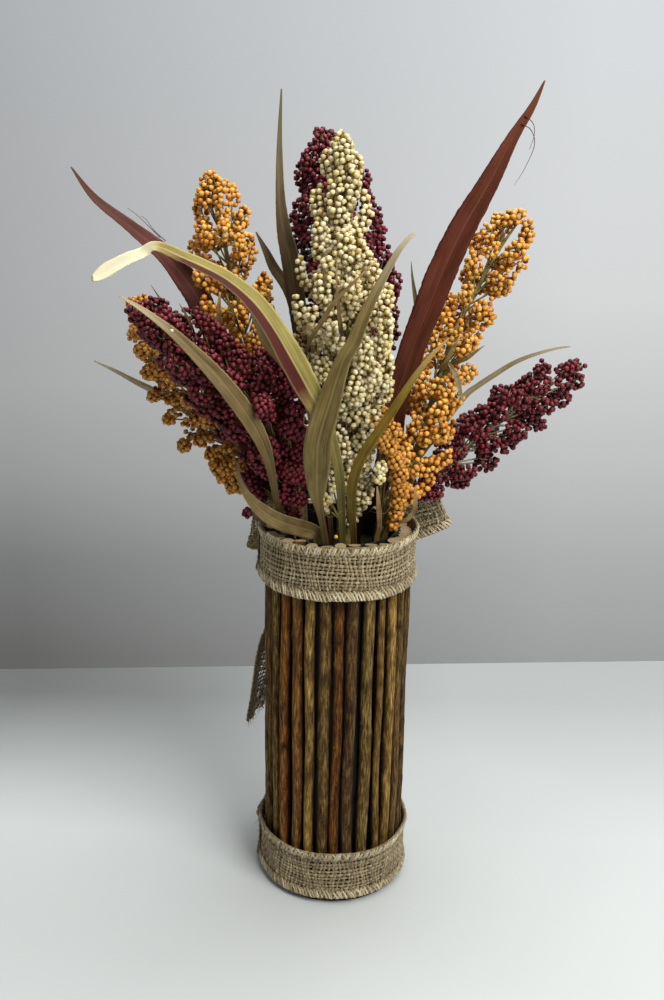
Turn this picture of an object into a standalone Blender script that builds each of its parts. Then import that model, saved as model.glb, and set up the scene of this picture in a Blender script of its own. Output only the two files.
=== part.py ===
"""A vase of dried sorghum: a dark pot walled with twigs, tied with burlap ribbon, holding heads and leaves.

Metres, with Z up. The origin is the middle of the pot's foot, on the surface that the vase stands on.
Angles round the vase start at its front, which faces -Y, and grow towards +X.
"""

import math
import random

import bmesh
import bpy
from mathutils import Vector
from mathutils.bvhtree import BVHTree

MM = 0.001
GAP = 0.0003

# The pot and its foam
POT_RADIUS = 0.0445
POT_WALL = 0.0022
POT_FLOOR = 0.004
POT_HEIGHT = 0.281
FOOT_RADIUS = 0.054
FOOT_THICKNESS = 0.0035
POT_SIDES = 32
FOAM_TOP = 0.262
SOCKET_DEPTH = 0.012

# The twigs: the angles of those on the front, then evenly spaced ones round the back
TWIG_CIRCLE = 0.0493
TWIG_TOP = 0.287
TWIG_SIDES = 8
TWIG_LEVELS = [0.0, 0.19, 0.37, 0.57, 0.78, 1.0]
TWIG_SWAY = 0.00028
TWIG_SLANT = 0.25
FRONT_TWIGS = [
    (-45.5, 8.8), (-32, 8.6), (-21, 7.6), (-8.5, 8.4), (2, 7.6), (13, 8.6), (27, 9.2), (40, 7.8),
    (51.5, 8.6), (63, 8.4), (74.5, 8.2), (86, 8.8),
]
BACK_TWIGS = 18
BACK_START = 97.5
BACK_END = 302.5
TWIG_COLOURS = [
    (0.20, 0.085, 0.035), (0.27, 0.15, 0.07), (0.33, 0.20, 0.08), (0.19, 0.13, 0.08),
    (0.26, 0.11, 0.04), (0.12, 0.08, 0.07), (0.11, 0.085, 0.05), (0.30, 0.18, 0.09),
]

# The burlap ribbon
RIBBON_WIDTH = 0.038
RIBBON_THICKNESS = 0.0016
BAND_INNER = 0.0545
BAND_OUTER = 0.0575
BAND_SIDES = 48
UPPER_BAND_BASE = 0.2455
LOWER_BAND_BASE = 0.0050
LOWER_BAND_FLARE = 0.0012
KNOT_CENTRE = Vector((0.0, 0.0646, 0.264))
KNOT_SIZE = Vector((0.018, 0.0132, 0.027))
KNOT_ROUNDING = 0.0045

# The heads: x, y, z along the stem and the seed head, then the radius there, all in millimetres
HEAD_SIDES = 12
HEAD_RINGS = 17
BARE_STEM = 0.006
BROAD_LUMPS = 0.08
SMALL_LUMPS = 0.07
LUMP_INSET = 0.04
CLEARANCE = 0.0006
PRESSES = 90
PRESS_FROM_HURDLE = 0.05
PRESS_FROM_HEAD = 0.04
RIM_DEPTH = 0.02
RIM_CLEARANCE = 0.0015
HEADS = {
    "cream_head": ((0.62, 0.52, 0.30), [
        (6, -12, 262, 2.8), (6.5, -13, 276, 2.8), (9, -15, 288, 4.5), (11.5, -17.5, 303, 14),
        (12, -19.5, 325, 20), (12, -22, 352, 25), (9, -23.5, 380, 30), (5, -24, 410, 35),
        (0, -24, 440, 39), (-2, -22.5, 462, 34), (-3, -20.5, 487, 25), (-3, -17, 512, 21),
        (-3, -14, 536, 16), (-2.5, -12, 551, 4),
    ]),
    "burgundy_head_left": ((0.12, 0.008, 0.022), [
        (-20, -16, 262, 2.8), (-28, -18, 283, 2.8), (-33, -20, 303, 14), (-39, -22, 328, 24),
        (-46, -25, 352, 31), (-61, -28, 379, 36), (-80, -30, 397, 35), (-99, -30, 412, 31),
        (-119, -28, 425, 24), (-131, -27, 433, 16), (-140, -26, 438, 6),
    ]),
    "burgundy_head_back": ((0.12, 0.008, 0.022), [
        (1, 27, 262, 2.8), (1.5, 29, 282, 2.8), (3, 34, 306, 5), (4.5, 39, 332, 14), (6, 43, 360, 25),
        (7, 47, 392, 35), (5, 50, 437, 42), (-2, 53, 472, 41), (-8, 54, 507, 35), (-13, 54, 533, 26),
        (-16, 54, 548, 15), (-17, 54, 555, 5),
    ]),
    "burgundy_head_right": ((0.12, 0.008, 0.022), [
        (30, 11, 262, 2.8), (35, 12.5, 280, 2.8), (44, 15, 293, 6), (62, 19, 307, 21), (78, 23, 320, 27),
        (96, 26, 337.5, 29), (119, 29, 356, 28), (141, 30, 373.5, 26), (158, 30, 386, 20.5),
        (168.5, 30, 393, 13), (174, 30, 397, 5),
    ]),
    "orange_head_left": ((0.50, 0.20, 0.035), [
        (-26, 16, 262, 2.8), (-29, 16.5, 282, 2.8), (-38, 18, 312, 3), (-46, 19, 340, 7),
        (-54, 18, 365, 19), (-63, 17, 392, 28), (-73, 17, 435, 31), (-82, 19, 477, 28),
        (-89, 21, 507, 20), (-92, 22, 525, 6),
    ]),
    "orange_head_far_left": ((0.50, 0.20, 0.035), [
        (-29, 4, 262, 2.8), (-34, 5, 280, 2.8), (-43, 8, 293.5, 3), (-57, 12, 309, 7),
        (-72, 16, 328, 18), (-88, 20, 347, 26), (-109, 24, 378, 29), (-130, 26, 409, 25),
        (-143, 27.5, 426, 16), (-150, 28, 436, 5),
    ]),
    "orange_head_right": ((0.50, 0.20, 0.035), [
        (28, -4, 262, 2.8), (32, -6, 276, 2.8), (39, -9, 292, 8), (45, -9, 306, 18), (51, -4, 327, 26),
        (59, 4, 353, 31), (68, 10, 385, 29), (79, 17, 420, 24), (92, 22, 447, 23), (106, 27, 473, 25),
        (117, 30, 490, 22), (125, 32, 501, 8),
    ]),
}

# The leaves: where the face looks at the base and at the tip, then x, y, z and the width in millimetres
LEAF_THICKNESS = 0.0013
LEAF_FOLD = 0.10
LEAF_STEPS = 15
LEAVES = {
    "red_leaf_right": ((0.17, 0.02, 0.015), (0, -1, 0), (-0.5, -0.9, 0.4), [
        (13, 10, 262, 6), (16, 10, 287, 9), (33, 8, 321, 17), (38, 4, 370, 18), (44, 2, 394, 18),
        (51, 0, 419, 18.5), (59, -4, 443, 19.5), (67, -8, 467, 20), (78, -12, 493, 19),
        (92, -16, 520, 15), (105, -18, 547, 9), (116, -20, 566, 5), (123, -20, 582, 1),
    ]),
    "red_leaf_left": ((0.12, 0.03, 0.02), (0.2, -1, 0), (0.5, -0.8, 0.4), [
        (-17, -2, 262, 5), (-24, -2, 284, 7), (-40, -3, 301, 11), (-55, -4, 319, 14), (-66, -3, 345, 14),
        (-75, 0, 373, 15), (-84.6, 16, 403.3, 17), (-97.7, 28, 429.7, 18.5), (-106.3, 31, 445.3, 18.5),
        (-124.2, 28, 468.4, 14.5), (-147.7, 20, 488.9, 9), (-168.3, 10, 506.8, 5.5),
        (-180.4, 0, 526.1, 1),
    ]),
    "folded_leaf": ((0.38, 0.32, 0.12), (0, -1, 0), (0.1, -0.6, 0.8), [
        (3, -33, 262, 5), (3, -36, 280, 5.5), (2, -39, 306, 6), (0, -46, 332, 7), (-5, -54, 356, 8),
        (-11, -59, 374, 11), (-19, -62, 389.5, 15), (-30, -62.5, 410, 17), (-43, -61.5, 432, 14.5),
        (-56, -60, 448.5, 13), (-72, -58.5, 461, 11), (-87, -57, 468.5, 9.5), (-103, -55.5, 475, 8.5),
        (-113, -54.5, 479, 8), (-119, -54, 479.5, 7.5), (-124.8, -54, 475.6, 8.5),
        (-133, -54, 472.4, 10.5), (-141.4, -53.5, 468.3, 12.5), (-148.6, -53, 464.4, 13.5),
        (-154.5, -52.5, 460.9, 10.5), (-158.2, -52, 458.7, 4),
    ]),
    "upright_leaf": ((0.27, 0.25, 0.15), (0, -1, 0), (0.3, -1, 0), [
        (-8, 6, 262, 5), (-9, 8, 285, 7), (-14, 10, 330, 9), (-22, 14, 380, 11), (-30, 18, 426, 12.5),
        (-37, 22, 468, 12.5), (-41, 24, 485, 10.5), (-44, 26, 507, 7), (-45, 30, 542, 4),
        (-44, 34, 579, 1),
    ]),
    "hidden_leaf": ((0.27, 0.25, 0.15), (0, -1, 0), (0.2, -1, 0.2), [
        (-12, 23, 262, 4), (-13, 25, 285, 6), (-18, 28, 340, 7.5), (-24, 31, 380, 8.5),
        (-30, 34, 417, 8.5), (-38, 36, 444, 8.5), (-49, 38, 460, 7.5), (-55, 38, 472, 5),
        (-62, 38, 485, 1),
    ]),
    "broad_leaf": ((0.34, 0.29, 0.12), (0, -1, 0), (-0.5, -0.8, 0.3), [
        (-9, -35, 262, 5), (-9, -38, 281, 5.5), (-13, -44, 303, 9), (-15, -50, 322, 15),
        (-15, -58, 342, 18.5), (-14, -64, 360, 19), (-7, -68, 387, 15), (0.5, -70, 412, 10.5),
        (7.5, -70, 425, 9.5), (14, -69.5, 442.5, 8), (22.5, -67.5, 460, 6.3),
        (32, -63.5, 477.5, 4.5), (38, -60.5, 485.5, 3.5), (41.5, -58.5, 489, 3), (44, -57.5, 490.5, 1),
    ]),
    "green_leaf_right": ((0.30, 0.28, 0.06), (0, -1, 0), (-0.3, -0.9, 0.4), [
        (11, -34, 262, 4.5), (11, -37, 280, 5), (9.5, -43, 299, 5.5), (8.5, -49, 319, 6.5),
        (10, -54, 334, 7.5), (16, -58, 351, 7.5), (27.5, -60, 370.1, 7), (37.3, -59, 385.8, 6.5),
        (48.5, -54, 402.6, 5), (58.7, -48, 414.7, 3.2), (69, -43, 424.4, 1),
    ]),
    "green_leaf_left": ((0.35, 0.31, 0.17), (0, -1, 0), (0.4, -0.8, 0.5), [
        (-31, -17, 262, 4), (-34, -18.5, 280, 4.2), (-38.5, -21.5, 292, 4.2), (-44, -27, 302, 4.2),
        (-45, -34, 315, 4.2), (-45, -42, 330, 4.5), (-47, -50, 345, 6), (-53, -58, 363, 9.5),
        (-61, -62, 373, 10), (-71, -64, 386, 9.5), (-83, -62, 407, 8.5), (-100, -58, 423, 6),
        (-113, -56, 433, 4.5), (-126, -54, 441, 3), (-141, -52, 450, 1),
    ]),
    "far_left_leaf": ((0.28, 0.26, 0.15), (0, -1, 0.3), (0.3, -0.7, 0.7), [
        (-35, 13, 262, 4), (-36, 14, 281, 4), (-43, 18, 293, 4.5), (-67, 32, 320, 6),
        (-103, 43, 348, 6), (-120, 45, 357, 6), (-138, 46, 368, 5.5), (-152, 46, 375, 4.5),
        (-166, 44, 383, 3), (-182, 42, 391, 1),
    ]),
    "rim_leaf": ((0.36, 0.29, 0.13), (0, -1, 0), (0.3, -0.9, 0.3), [
        (-14, -29, 262, 5), (-13, -32, 279, 6.5), (-17, -34, 288, 9.5), (-29, -31.5, 291.5, 10.5),
        (-40, -30.5, 294.5, 10.5), (-49, -31, 299, 10), (-57, -31.5, 305, 8), (-64, -32, 314, 5.5),
        (-69, -32, 326, 3.2), (-69, -32, 338, 1),
    ]),
    "far_right_leaf": ((0.30, 0.26, 0.17), (0, -1, 0), (-0.3, -0.8, 0.5), [
        (27, 20, 262, 4), (31, 20.5, 281, 4), (39, 21, 296, 4.5), (52, 20, 319, 4.8),
        (72, 20, 350, 4.8), (89, 24, 373, 4.6), (99, 26, 381, 4.2), (111, 28, 389, 4),
        (123, 28, 397, 3.5), (136, 28, 403, 2.8), (152, 28, 408, 1.8), (163, 28, 410, 1),
    ]),
    "curl_leaf_left": ((0.20, 0.17, 0.11), (0, -1, 0), (0.2, -1, 0), [
        (25, -25, 262, 3.5), (27, -26, 281, 3.5), (28.5, -28, 291, 3.5), (27.5, -30, 306, 3.4),
        (26, -30, 320, 1),
    ]),
    "curl_leaf_right": ((0.22, 0.19, 0.12), (0, -1, 0), (-0.2, -1, 0), [
        (32, -20, 262, 3.5), (33, -22, 282, 3.5), (39, -25, 292, 3.5), (47, -28, 295.5, 3.5),
        (51.5, -28, 301, 3.4), (53, -28, 309, 3), (52, -26, 318, 1),
    ]),
    "narrow_leaf": ((0.33, 0.22, 0.15), (0, -1, 0), (0.3, -0.9, 0.4), [
        (-4, -23, 262, 3.5), (-5, -26, 285, 3.5), (-9, -31, 320, 3.5), (-14, -38, 345, 3.5),
        (-19, -45, 369, 3.5), (-26, -50, 390, 4.5), (-36, -53, 406, 5.5), (-48, -54, 420, 5.5),
        (-54, -53, 432, 4), (-59, -52, 443, 1),
    ]),
}

# The bow's loops: the way the width lies, then x, y, z and the width in millimetres
BOW_LOOPS = {
    "bow_loop_left": ((0.22, 0, 1), [
        (-9.6, 61.2, 264, 13), (-24, 60.5, 263, 26), (-44, 59.5, 262, 35), (-59, 59, 261, 36),
        (-67, 61.5, 260, 36), (-68, 66.5, 260, 36), (-61, 71, 261, 36), (-44, 73, 262, 35),
        (-26, 71, 263, 27), (-9.6, 67.6, 264, 13),
    ]),
    "bow_loop_right": ((-0.4, 0, 1), [
        (9.6, 61.2, 264, 13), (25, 60.5, 264, 26), (46, 59.5, 268, 36), (66, 58, 275, 37),
        (78, 60, 280, 37), (80, 65.5, 281, 37), (71, 71, 277, 37), (48, 73.5, 269, 36),
        (27, 71, 264, 27), (9.6, 67.6, 264, 13),
    ]),
}

# The bow's tails: where the ribbon looks at its top and at its end, then x, y, z and the width in millimetres
BOW_TAILS = {
    "bow_tail_left": ((-0.35, 0.94, 0), (-0.97, 0.25, 0), [
        (-4.7, 62.5, 249.8, 8), (-12, 64, 236, 17), (-24, 65, 215, 32), (-37, 64, 190, 38),
        (-48, 62, 165, 38), (-56, 59, 140, 38), (-62, 56.5, 118, 38), (-65.5, 55, 100, 38),
    ]),
    "bow_tail_right": ((0.25, 0.96, 0), (0.45, 0.89, 0), [
        (4.7, 62.5, 249.8, 8), (9, 64.5, 236, 15), (15, 66.5, 215, 28), (21, 66, 190, 37),
        (25, 64.5, 165, 38), (27, 64, 140, 38), (28, 64, 120, 38),
    ]),
}
TAIL_RIPPLE = 0.0018
LOOP_STEPS = 17
TAIL_STEPS = 13
BURLAP = (0.33, 0.26, 0.16)


def circle(radius, height, sides):
    """Return the points of a level ring round the Z axis, counterclockwise seen from above."""
    turns = [2 * math.pi * step / sides for step in range(sides)]
    return [Vector((radius * math.cos(turn), radius * math.sin(turn), height)) for turn in turns]


def skin(rings, closed=False):
    """Join each ring of points to the next, and cap the two ends unless the rings close on themselves."""
    body = bmesh.new()
    loops = [[body.verts.new(point) for point in ring] for ring in rings]
    following = loops[1:] + loops[:1] if closed else loops[1:]
    for near, far in zip(loops, following):
        for index, corner in enumerate(near):
            after = (index + 1) % len(near)
            body.faces.new((corner, near[after], far[after], far[index]))
    if not closed:
        body.faces.new(loops[0][::-1])
        body.faces.new(loops[-1])
    bmesh.ops.recalc_face_normals(body, faces=body.faces)
    bmesh.ops.triangulate(body, faces=body.faces)
    body.verts.ensure_lookup_table()
    body.faces.ensure_lookup_table()
    return body


def finish(name, colour, roughness, metallic=0.0):
    """Return a new plain material."""
    material = bpy.data.materials.new(name)
    material.use_nodes = True
    surface = material.node_tree.nodes["Principled BSDF"]
    surface.inputs["Base Color"].default_value = (*colour, 1.0)
    surface.inputs["Roughness"].default_value = roughness
    surface.inputs["Metallic"].default_value = metallic
    return material


def add_piece(name, body, material, group, origin=Vector(), turn=0.0):
    """Make an object of a body that was drawn round its own origin, and put it in its place."""
    mesh = bpy.data.meshes.new(name)
    body.to_mesh(mesh)
    body.free()
    mesh.shade_smooth()
    mesh.set_sharp_from_angle(angle=math.radians(50))
    mesh.materials.append(material)
    piece = bpy.data.objects.new(name, mesh)
    piece.location = origin
    piece.rotation_euler = (0.0, 0.0, turn)
    piece.parent = group
    bpy.context.scene.collection.objects.link(piece)
    return piece


def add_group(name):
    """Return an empty that the pieces of one group are parented to."""
    group = bpy.data.objects.new(name, None)
    bpy.context.scene.collection.objects.link(group)
    return group


def add_piece_from(name, body, material, group, foot):
    """Make an object of a body drawn where it stands, with its origin at its foot."""
    bmesh.ops.translate(body, verts=body.verts, vec=-foot)
    return add_piece(name, body, material, group, foot)


def curve_point(before, start, end, after, part):
    """Return the Catmull-Rom point between start and end, for tuples of any length."""
    point = []
    for a, b, c, d in zip(before, start, end, after):
        slope = c - a
        bend = 2 * a - 5 * b + 4 * c - d
        twist = 3 * b - a - 3 * c + d
        point.append(0.5 * (2 * b + part * (slope + part * (bend + part * twist))))
    return point


def smooth_run(points, count, fineness=12):
    """Return count evenly spaced places on a smooth run through the points: positions and sizes, in metres."""
    padded = [points[0], *points, points[-1]]
    fine = []
    for index in range(len(points) - 1):
        for step in range(fineness):
            fine.append(curve_point(*padded[index:index + 4], step / fineness))
    fine.append(list(points[-1]))
    places = [(Vector(point[:3]) * MM, point[3] * MM) for point in fine]
    reach = [0.0]
    for (here, _), (there, _) in zip(places, places[1:]):
        reach.append(reach[-1] + (there - here).length)
    run = []
    index = 0
    for step in range(count):
        target = reach[-1] * step / (count - 1)
        while index < len(reach) - 2 and reach[index + 1] < target:
            index += 1
        part = (target - reach[index]) / (reach[index + 1] - reach[index])
        position = places[index][0].lerp(places[index + 1][0], part)
        size = places[index][1] * (1 - part) + places[index + 1][1] * part
        run.append((position, size))
    return run


def headings(positions):
    """Return the direction of travel at each position of a run."""
    last = len(positions) - 1
    return [
        (positions[min(index + 1, last)] - positions[max(index - 1, 0)]).normalized()
        for index in range(len(positions))
    ]


def with_foot(run):
    """Put a straight foot under a run, which stands in its socket in the foam."""
    position, size = run[0]
    return [(position - Vector((0, 0, SOCKET_DEPTH)), size)] + run


def add_pot(group):
    """The pot is a turned cup with a flat foot that the twigs stand on."""
    inner = POT_RADIUS - POT_WALL
    profile = [
        (FOOT_RADIUS, 0.0), (FOOT_RADIUS, FOOT_THICKNESS), (POT_RADIUS, FOOT_THICKNESS),
        (POT_RADIUS, POT_HEIGHT), (inner, POT_HEIGHT), (inner, POT_FLOOR),
    ]
    body = skin([circle(radius, height, POT_SIDES) for radius, height in profile])
    add_piece("pot", body, finish("dark_plastic", (0.012, 0.012, 0.012), 0.5), group)


def add_foam(group, feet):
    """The foam fills the pot, and each stem and leaf stands in a socket cut into its top."""
    radius = POT_RADIUS - POT_WALL - GAP / math.cos(math.pi / POT_SIDES)
    heights = [POT_FLOOR + GAP, FOAM_TOP]
    body = skin([circle(radius, height, POT_SIDES) for height in heights])
    foam = add_piece("foam", body, finish("dry_foam", (0.05, 0.06, 0.04), 0.95), group)
    cutters = bmesh.new()
    for foot in feet:
        low = [point - Vector((0, 0, SOCKET_DEPTH + GAP)) for point in foot]
        high = [point + Vector((0, 0, SOCKET_DEPTH)) for point in foot]
        socket = skin([low, high])
        mesh = bpy.data.meshes.new("socket")
        socket.to_mesh(mesh)
        socket.free()
        cutters.from_mesh(mesh)
        bpy.data.meshes.remove(mesh)
    sockets = add_piece("sockets", cutters, finish("cutter", (1, 0, 0), 0.5), group)
    sockets.hide_render = True
    sockets.display_type = "WIRE"
    cut = foam.modifiers.new("sockets", "BOOLEAN")
    cut.operation = "DIFFERENCE"
    cut.solver = "EXACT"
    cut.object = sockets


def add_twig(number, angle, width, group):
    """A twig is a slightly crooked round stick with knots, cut across at both ends."""
    chance = random.Random(number)
    base = FOOT_THICKNESS + GAP
    length = TWIG_TOP - base + chance.uniform(-0.0025, 0.0012)
    radius = width / 2 * MM
    rings = []
    for level in TWIG_LEVELS:
        at_end = level in (0.0, 1.0)
        sway = 0.0 if at_end else TWIG_SWAY
        middle = Vector((chance.uniform(-sway, sway), chance.uniform(-sway, sway), level * length))
        girth = radius * (1.0 if at_end else chance.uniform(0.93, 1.03))
        tilt = chance.uniform(-TWIG_SLANT, TWIG_SLANT) if level == 1.0 else 0.0
        ring = circle(girth, 0.0, TWIG_SIDES)
        rings.append([middle + point + Vector((0, 0, tilt * point.y)) for point in ring])
    turn = math.radians(angle)
    place = Vector((TWIG_CIRCLE * math.sin(turn), -TWIG_CIRCLE * math.cos(turn), base))
    colour = TWIG_COLOURS[number % len(TWIG_COLOURS)]
    name = f"twig_{number:02d}"
    add_piece(name, skin(rings), finish(name, colour, 0.8), group, place, turn)


def add_band(name, base, flare, group):
    """A band is one turn of ribbon drawn tight over the twigs; the lower one flares at its foot."""
    profile = [
        (BAND_INNER, 0.0), (BAND_OUTER + flare, 0.0), (BAND_OUTER, RIBBON_WIDTH), (BAND_INNER, RIBBON_WIDTH),
    ]
    body = skin([circle(radius, height, BAND_SIDES) for radius, height in profile], closed=True)
    add_piece(name, body, finish(name, BURLAP, 0.95), group, Vector((0, 0, base)))


def add_knot(group):
    """The knot is a short wrap of ribbon round the middle of the bow."""
    body = bmesh.new()
    bmesh.ops.create_cube(body, size=1.0)
    bmesh.ops.scale(body, vec=KNOT_SIZE, verts=body.verts)
    bmesh.ops.bevel(body, geom=body.edges, offset=KNOT_ROUNDING, segments=2, profile=0.5, affect="EDGES")
    bmesh.ops.triangulate(body, faces=body.faces)
    add_piece("bow_knot", body, finish("bow_knot", BURLAP, 0.95), group, KNOT_CENTRE)


def strip_rings(run, across):
    """Return the rings of a strip of ribbon: across gives, at each place, the way the width lies."""
    rings = []
    for (position, width), heading, side in zip(run, headings([place for place, _ in run]), across):
        side = (side - heading * side.dot(heading)).normalized()
        face = side.cross(heading).normalized()
        half = side * width / 2
        thick = face * RIBBON_THICKNESS / 2
        front, back = position + thick, position - thick
        rings.append([front - half, front + half, back + half, back - half])
    return rings


def add_bow(group):
    """The bow: two loops that bend back to the knot, and two tails that hang from under it."""
    for name, (across, points) in BOW_LOOPS.items():
        run = smooth_run(points, LOOP_STEPS)
        body = skin(strip_rings(run, [Vector(across)] * len(run)))
        add_piece_from(name, body, finish(name, BURLAP, 0.95), group, run[0][0])
    for name, (top_face, end_face, points) in BOW_TAILS.items():
        run = smooth_run(points, TAIL_STEPS)
        parts = [step / (TAIL_STEPS - 1) for step in range(TAIL_STEPS)]
        faces = [Vector(top_face).lerp(Vector(end_face), part) for part in parts]
        waved = [
            (place + facing * TAIL_RIPPLE * math.sin(1.3 * step), width)
            for step, (facing, (place, width)) in enumerate(zip(faces, run))
        ]
        across = [facing.cross(Vector((0, 0, -1))) for facing in faces]
        body = skin(strip_rings(waved, across))
        add_piece_from(name, body, finish(name, BURLAP, 0.95), group, run[0][0])


def leaf_ring(position, heading, facing, width, thickness):
    """Return the four points across a leaf: the midrib's top, one edge, the midrib's back, the other edge."""
    side = heading.cross(facing).normalized()
    face = side.cross(heading).normalized()
    midrib = position - face * width * LEAF_FOLD
    half = side * width / 2
    thick = face * thickness / 2
    return [midrib + thick, position + half, midrib - thick, position - half]


def leaf_rings(base_face, tip_face, points):
    """Return the rings of a leaf, its face turning evenly from the base to the tip."""
    run = smooth_run(points, LEAF_STEPS)
    ways = headings([place for place, _ in run])
    rings = []
    for step, ((place, width), heading) in enumerate(zip(run, ways)):
        facing = Vector(base_face).lerp(Vector(tip_face), step / (LEAF_STEPS - 1))
        rings.append(leaf_ring(place, heading, facing, width, min(LEAF_THICKNESS, width / 2)))
    position, width = run[0]
    foot = leaf_ring(position, Vector((0, 0, 1)), Vector(base_face), width, LEAF_THICKNESS)
    drop = Vector((0, 0, SOCKET_DEPTH))
    return [[point - drop for point in foot], foot] + rings[1:]


def ring_frame(heading):
    """Return two directions across a heading, the same for like headings."""
    side = heading.cross(Vector((0, 1, 0))).normalized()
    return side, heading.cross(side)


def head_rings(points, number):
    """Return the middles and the rings of a stem and its seed head, with its bunches of seed as lumps."""
    run = with_foot(smooth_run(points, HEAD_RINGS))
    middles = [place for place, _ in run]
    ways = headings(middles)
    ways[0] = ways[1] = Vector((0, 0, 1))
    rings = []
    for step, ((place, radius), heading) in enumerate(zip(run, ways)):
        side, out = ring_frame(heading)
        lumpiness = 0.0 if radius < BARE_STEM else 1.0
        ring = []
        for index in range(HEAD_SIDES):
            turn = 2 * math.pi * index / HEAD_SIDES
            lump = BROAD_LUMPS * math.sin(3 * turn + 2.1 * step + number)
            lump += SMALL_LUMPS * math.sin(5 * turn - 1.7 * step)
            reach = radius * (1 + lumpiness * (lump - LUMP_INSET)) + CLEARANCE
            ring.append(place + (side * math.cos(turn) + out * math.sin(turn)) * reach)
        rings.append(ring)
    return middles, rings


def press_in(body, middles, hurdle, step):
    """Draw in the points of a head's faces that meet a hurdle, and say whether any did."""
    met = BVHTree.FromBMesh(body).overlap(hurdle)
    pressed = {vertex.index for face, _ in met for vertex in body.faces[face].verts}
    for index in pressed:
        middle = middles[index // HEAD_SIDES]
        vertex = body.verts[index]
        vertex.co = middle + (vertex.co - middle) * (1 - step)
    return bool(pressed)


def settle(heads, hurdles):
    """Press the seed heads in where they meet the leaves, the rim and each other, then leave a clearance."""
    for _ in range(PRESSES):
        moved = False
        for name, (body, middles) in heads.items():
            for hurdle in hurdles:
                moved = press_in(body, middles, hurdle, PRESS_FROM_HURDLE) or moved
            for other, (neighbour, _) in heads.items():
                if other != name:
                    hurdle = BVHTree.FromBMesh(neighbour)
                    moved = press_in(body, middles, hurdle, PRESS_FROM_HEAD) or moved
        if not moved:
            break
    for body, middles in heads.values():
        for vertex in body.verts:
            middle = middles[vertex.index // HEAD_SIDES]
            outward = vertex.co - middle
            vertex.co = middle + outward.normalized() * (outward.length - CLEARANCE)


def grown_foot(ring):
    """Return a foot's ring, grown by the gap that its socket leaves round it."""
    middle = sum(ring, Vector()) / len(ring)
    grown = []
    for point in ring:
        outward = point - middle
        grown.append(middle + outward + outward.normalized() * 2 * GAP)
    return grown


def add_bouquet(group):
    """The heads and leaves, each standing in the foam. Returns the outlines of their feet."""
    feet = []
    hurdles = []
    leaves = {}
    for name, (_, base_face, tip_face, points) in LEAVES.items():
        rings = leaf_rings(base_face, tip_face, points)
        leaves[name] = skin(rings)
        hurdles.append(BVHTree.FromBMesh(leaves[name]))
        feet.append(grown_foot(rings[1]))
    rim_profile = [
        (POT_RADIUS, TWIG_TOP - RIM_DEPTH), (BAND_OUTER, TWIG_TOP - RIM_DEPTH),
        (BAND_OUTER, TWIG_TOP + RIM_CLEARANCE), (POT_RADIUS, TWIG_TOP + RIM_CLEARANCE),
    ]
    rim = skin([circle(radius, height, BAND_SIDES) for radius, height in rim_profile], closed=True)
    hurdles.append(BVHTree.FromBMesh(rim))
    rim.free()
    heads = {}
    for number, (name, (_, points)) in enumerate(HEADS.items()):
        middles, rings = head_rings(points, number)
        heads[name] = (skin(rings), middles)
        feet.append(grown_foot(rings[1]))
    settle(heads, hurdles)
    for name, (body, middles) in heads.items():
        add_piece_from(name, body, finish(name, HEADS[name][0], 0.7), group, middles[0])
    for name, body in leaves.items():
        foot = Vector(LEAVES[name][3][0][:3]) * MM
        add_piece_from(name, body, finish(name, LEAVES[name][0], 0.6), group, foot)
    return feet


def build():
    """Clear the scene and build the vase."""
    for thing in list(bpy.data.objects):
        bpy.data.objects.remove(thing, do_unlink=True)
    wall = add_group("pot_and_twigs")
    burlap = add_group("burlap")
    bouquet = add_group("bouquet")
    add_pot(wall)
    feet = add_bouquet(bouquet)
    add_foam(wall, feet)
    spacing = (BACK_END - BACK_START) / (BACK_TWIGS - 1)
    back = [(BACK_START + spacing * step, 8.2 + 0.6 * math.sin(2.3 * step)) for step in range(BACK_TWIGS)]
    for number, (angle, width) in enumerate(FRONT_TWIGS + back, start=1):
        add_twig(number, angle, width, wall)
    add_band("ribbon_upper", UPPER_BAND_BASE, 0.0, burlap)
    add_band("ribbon_lower", LOWER_BAND_BASE, LOWER_BAND_FLARE, burlap)
    add_knot(burlap)
    add_bow(burlap)


build()
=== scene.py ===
import itertools
import math
from types import SimpleNamespace

import bpy
import numpy as np
from mathutils import Matrix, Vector
from mathutils.bvhtree import BVHTree


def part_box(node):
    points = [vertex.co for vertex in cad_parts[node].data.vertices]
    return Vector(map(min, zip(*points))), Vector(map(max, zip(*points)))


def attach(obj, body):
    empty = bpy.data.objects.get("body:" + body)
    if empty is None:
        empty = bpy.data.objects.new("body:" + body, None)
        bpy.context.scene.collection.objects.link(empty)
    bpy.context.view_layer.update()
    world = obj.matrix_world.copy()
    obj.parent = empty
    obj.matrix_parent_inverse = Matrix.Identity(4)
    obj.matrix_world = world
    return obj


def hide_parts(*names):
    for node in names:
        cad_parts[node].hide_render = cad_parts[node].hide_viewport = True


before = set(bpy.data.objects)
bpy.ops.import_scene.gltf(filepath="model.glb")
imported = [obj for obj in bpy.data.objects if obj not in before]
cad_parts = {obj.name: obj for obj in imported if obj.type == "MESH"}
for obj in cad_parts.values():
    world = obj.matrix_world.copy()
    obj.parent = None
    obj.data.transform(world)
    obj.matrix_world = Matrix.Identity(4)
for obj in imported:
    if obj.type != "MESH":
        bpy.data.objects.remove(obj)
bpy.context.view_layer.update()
MM = 0.001


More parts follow.
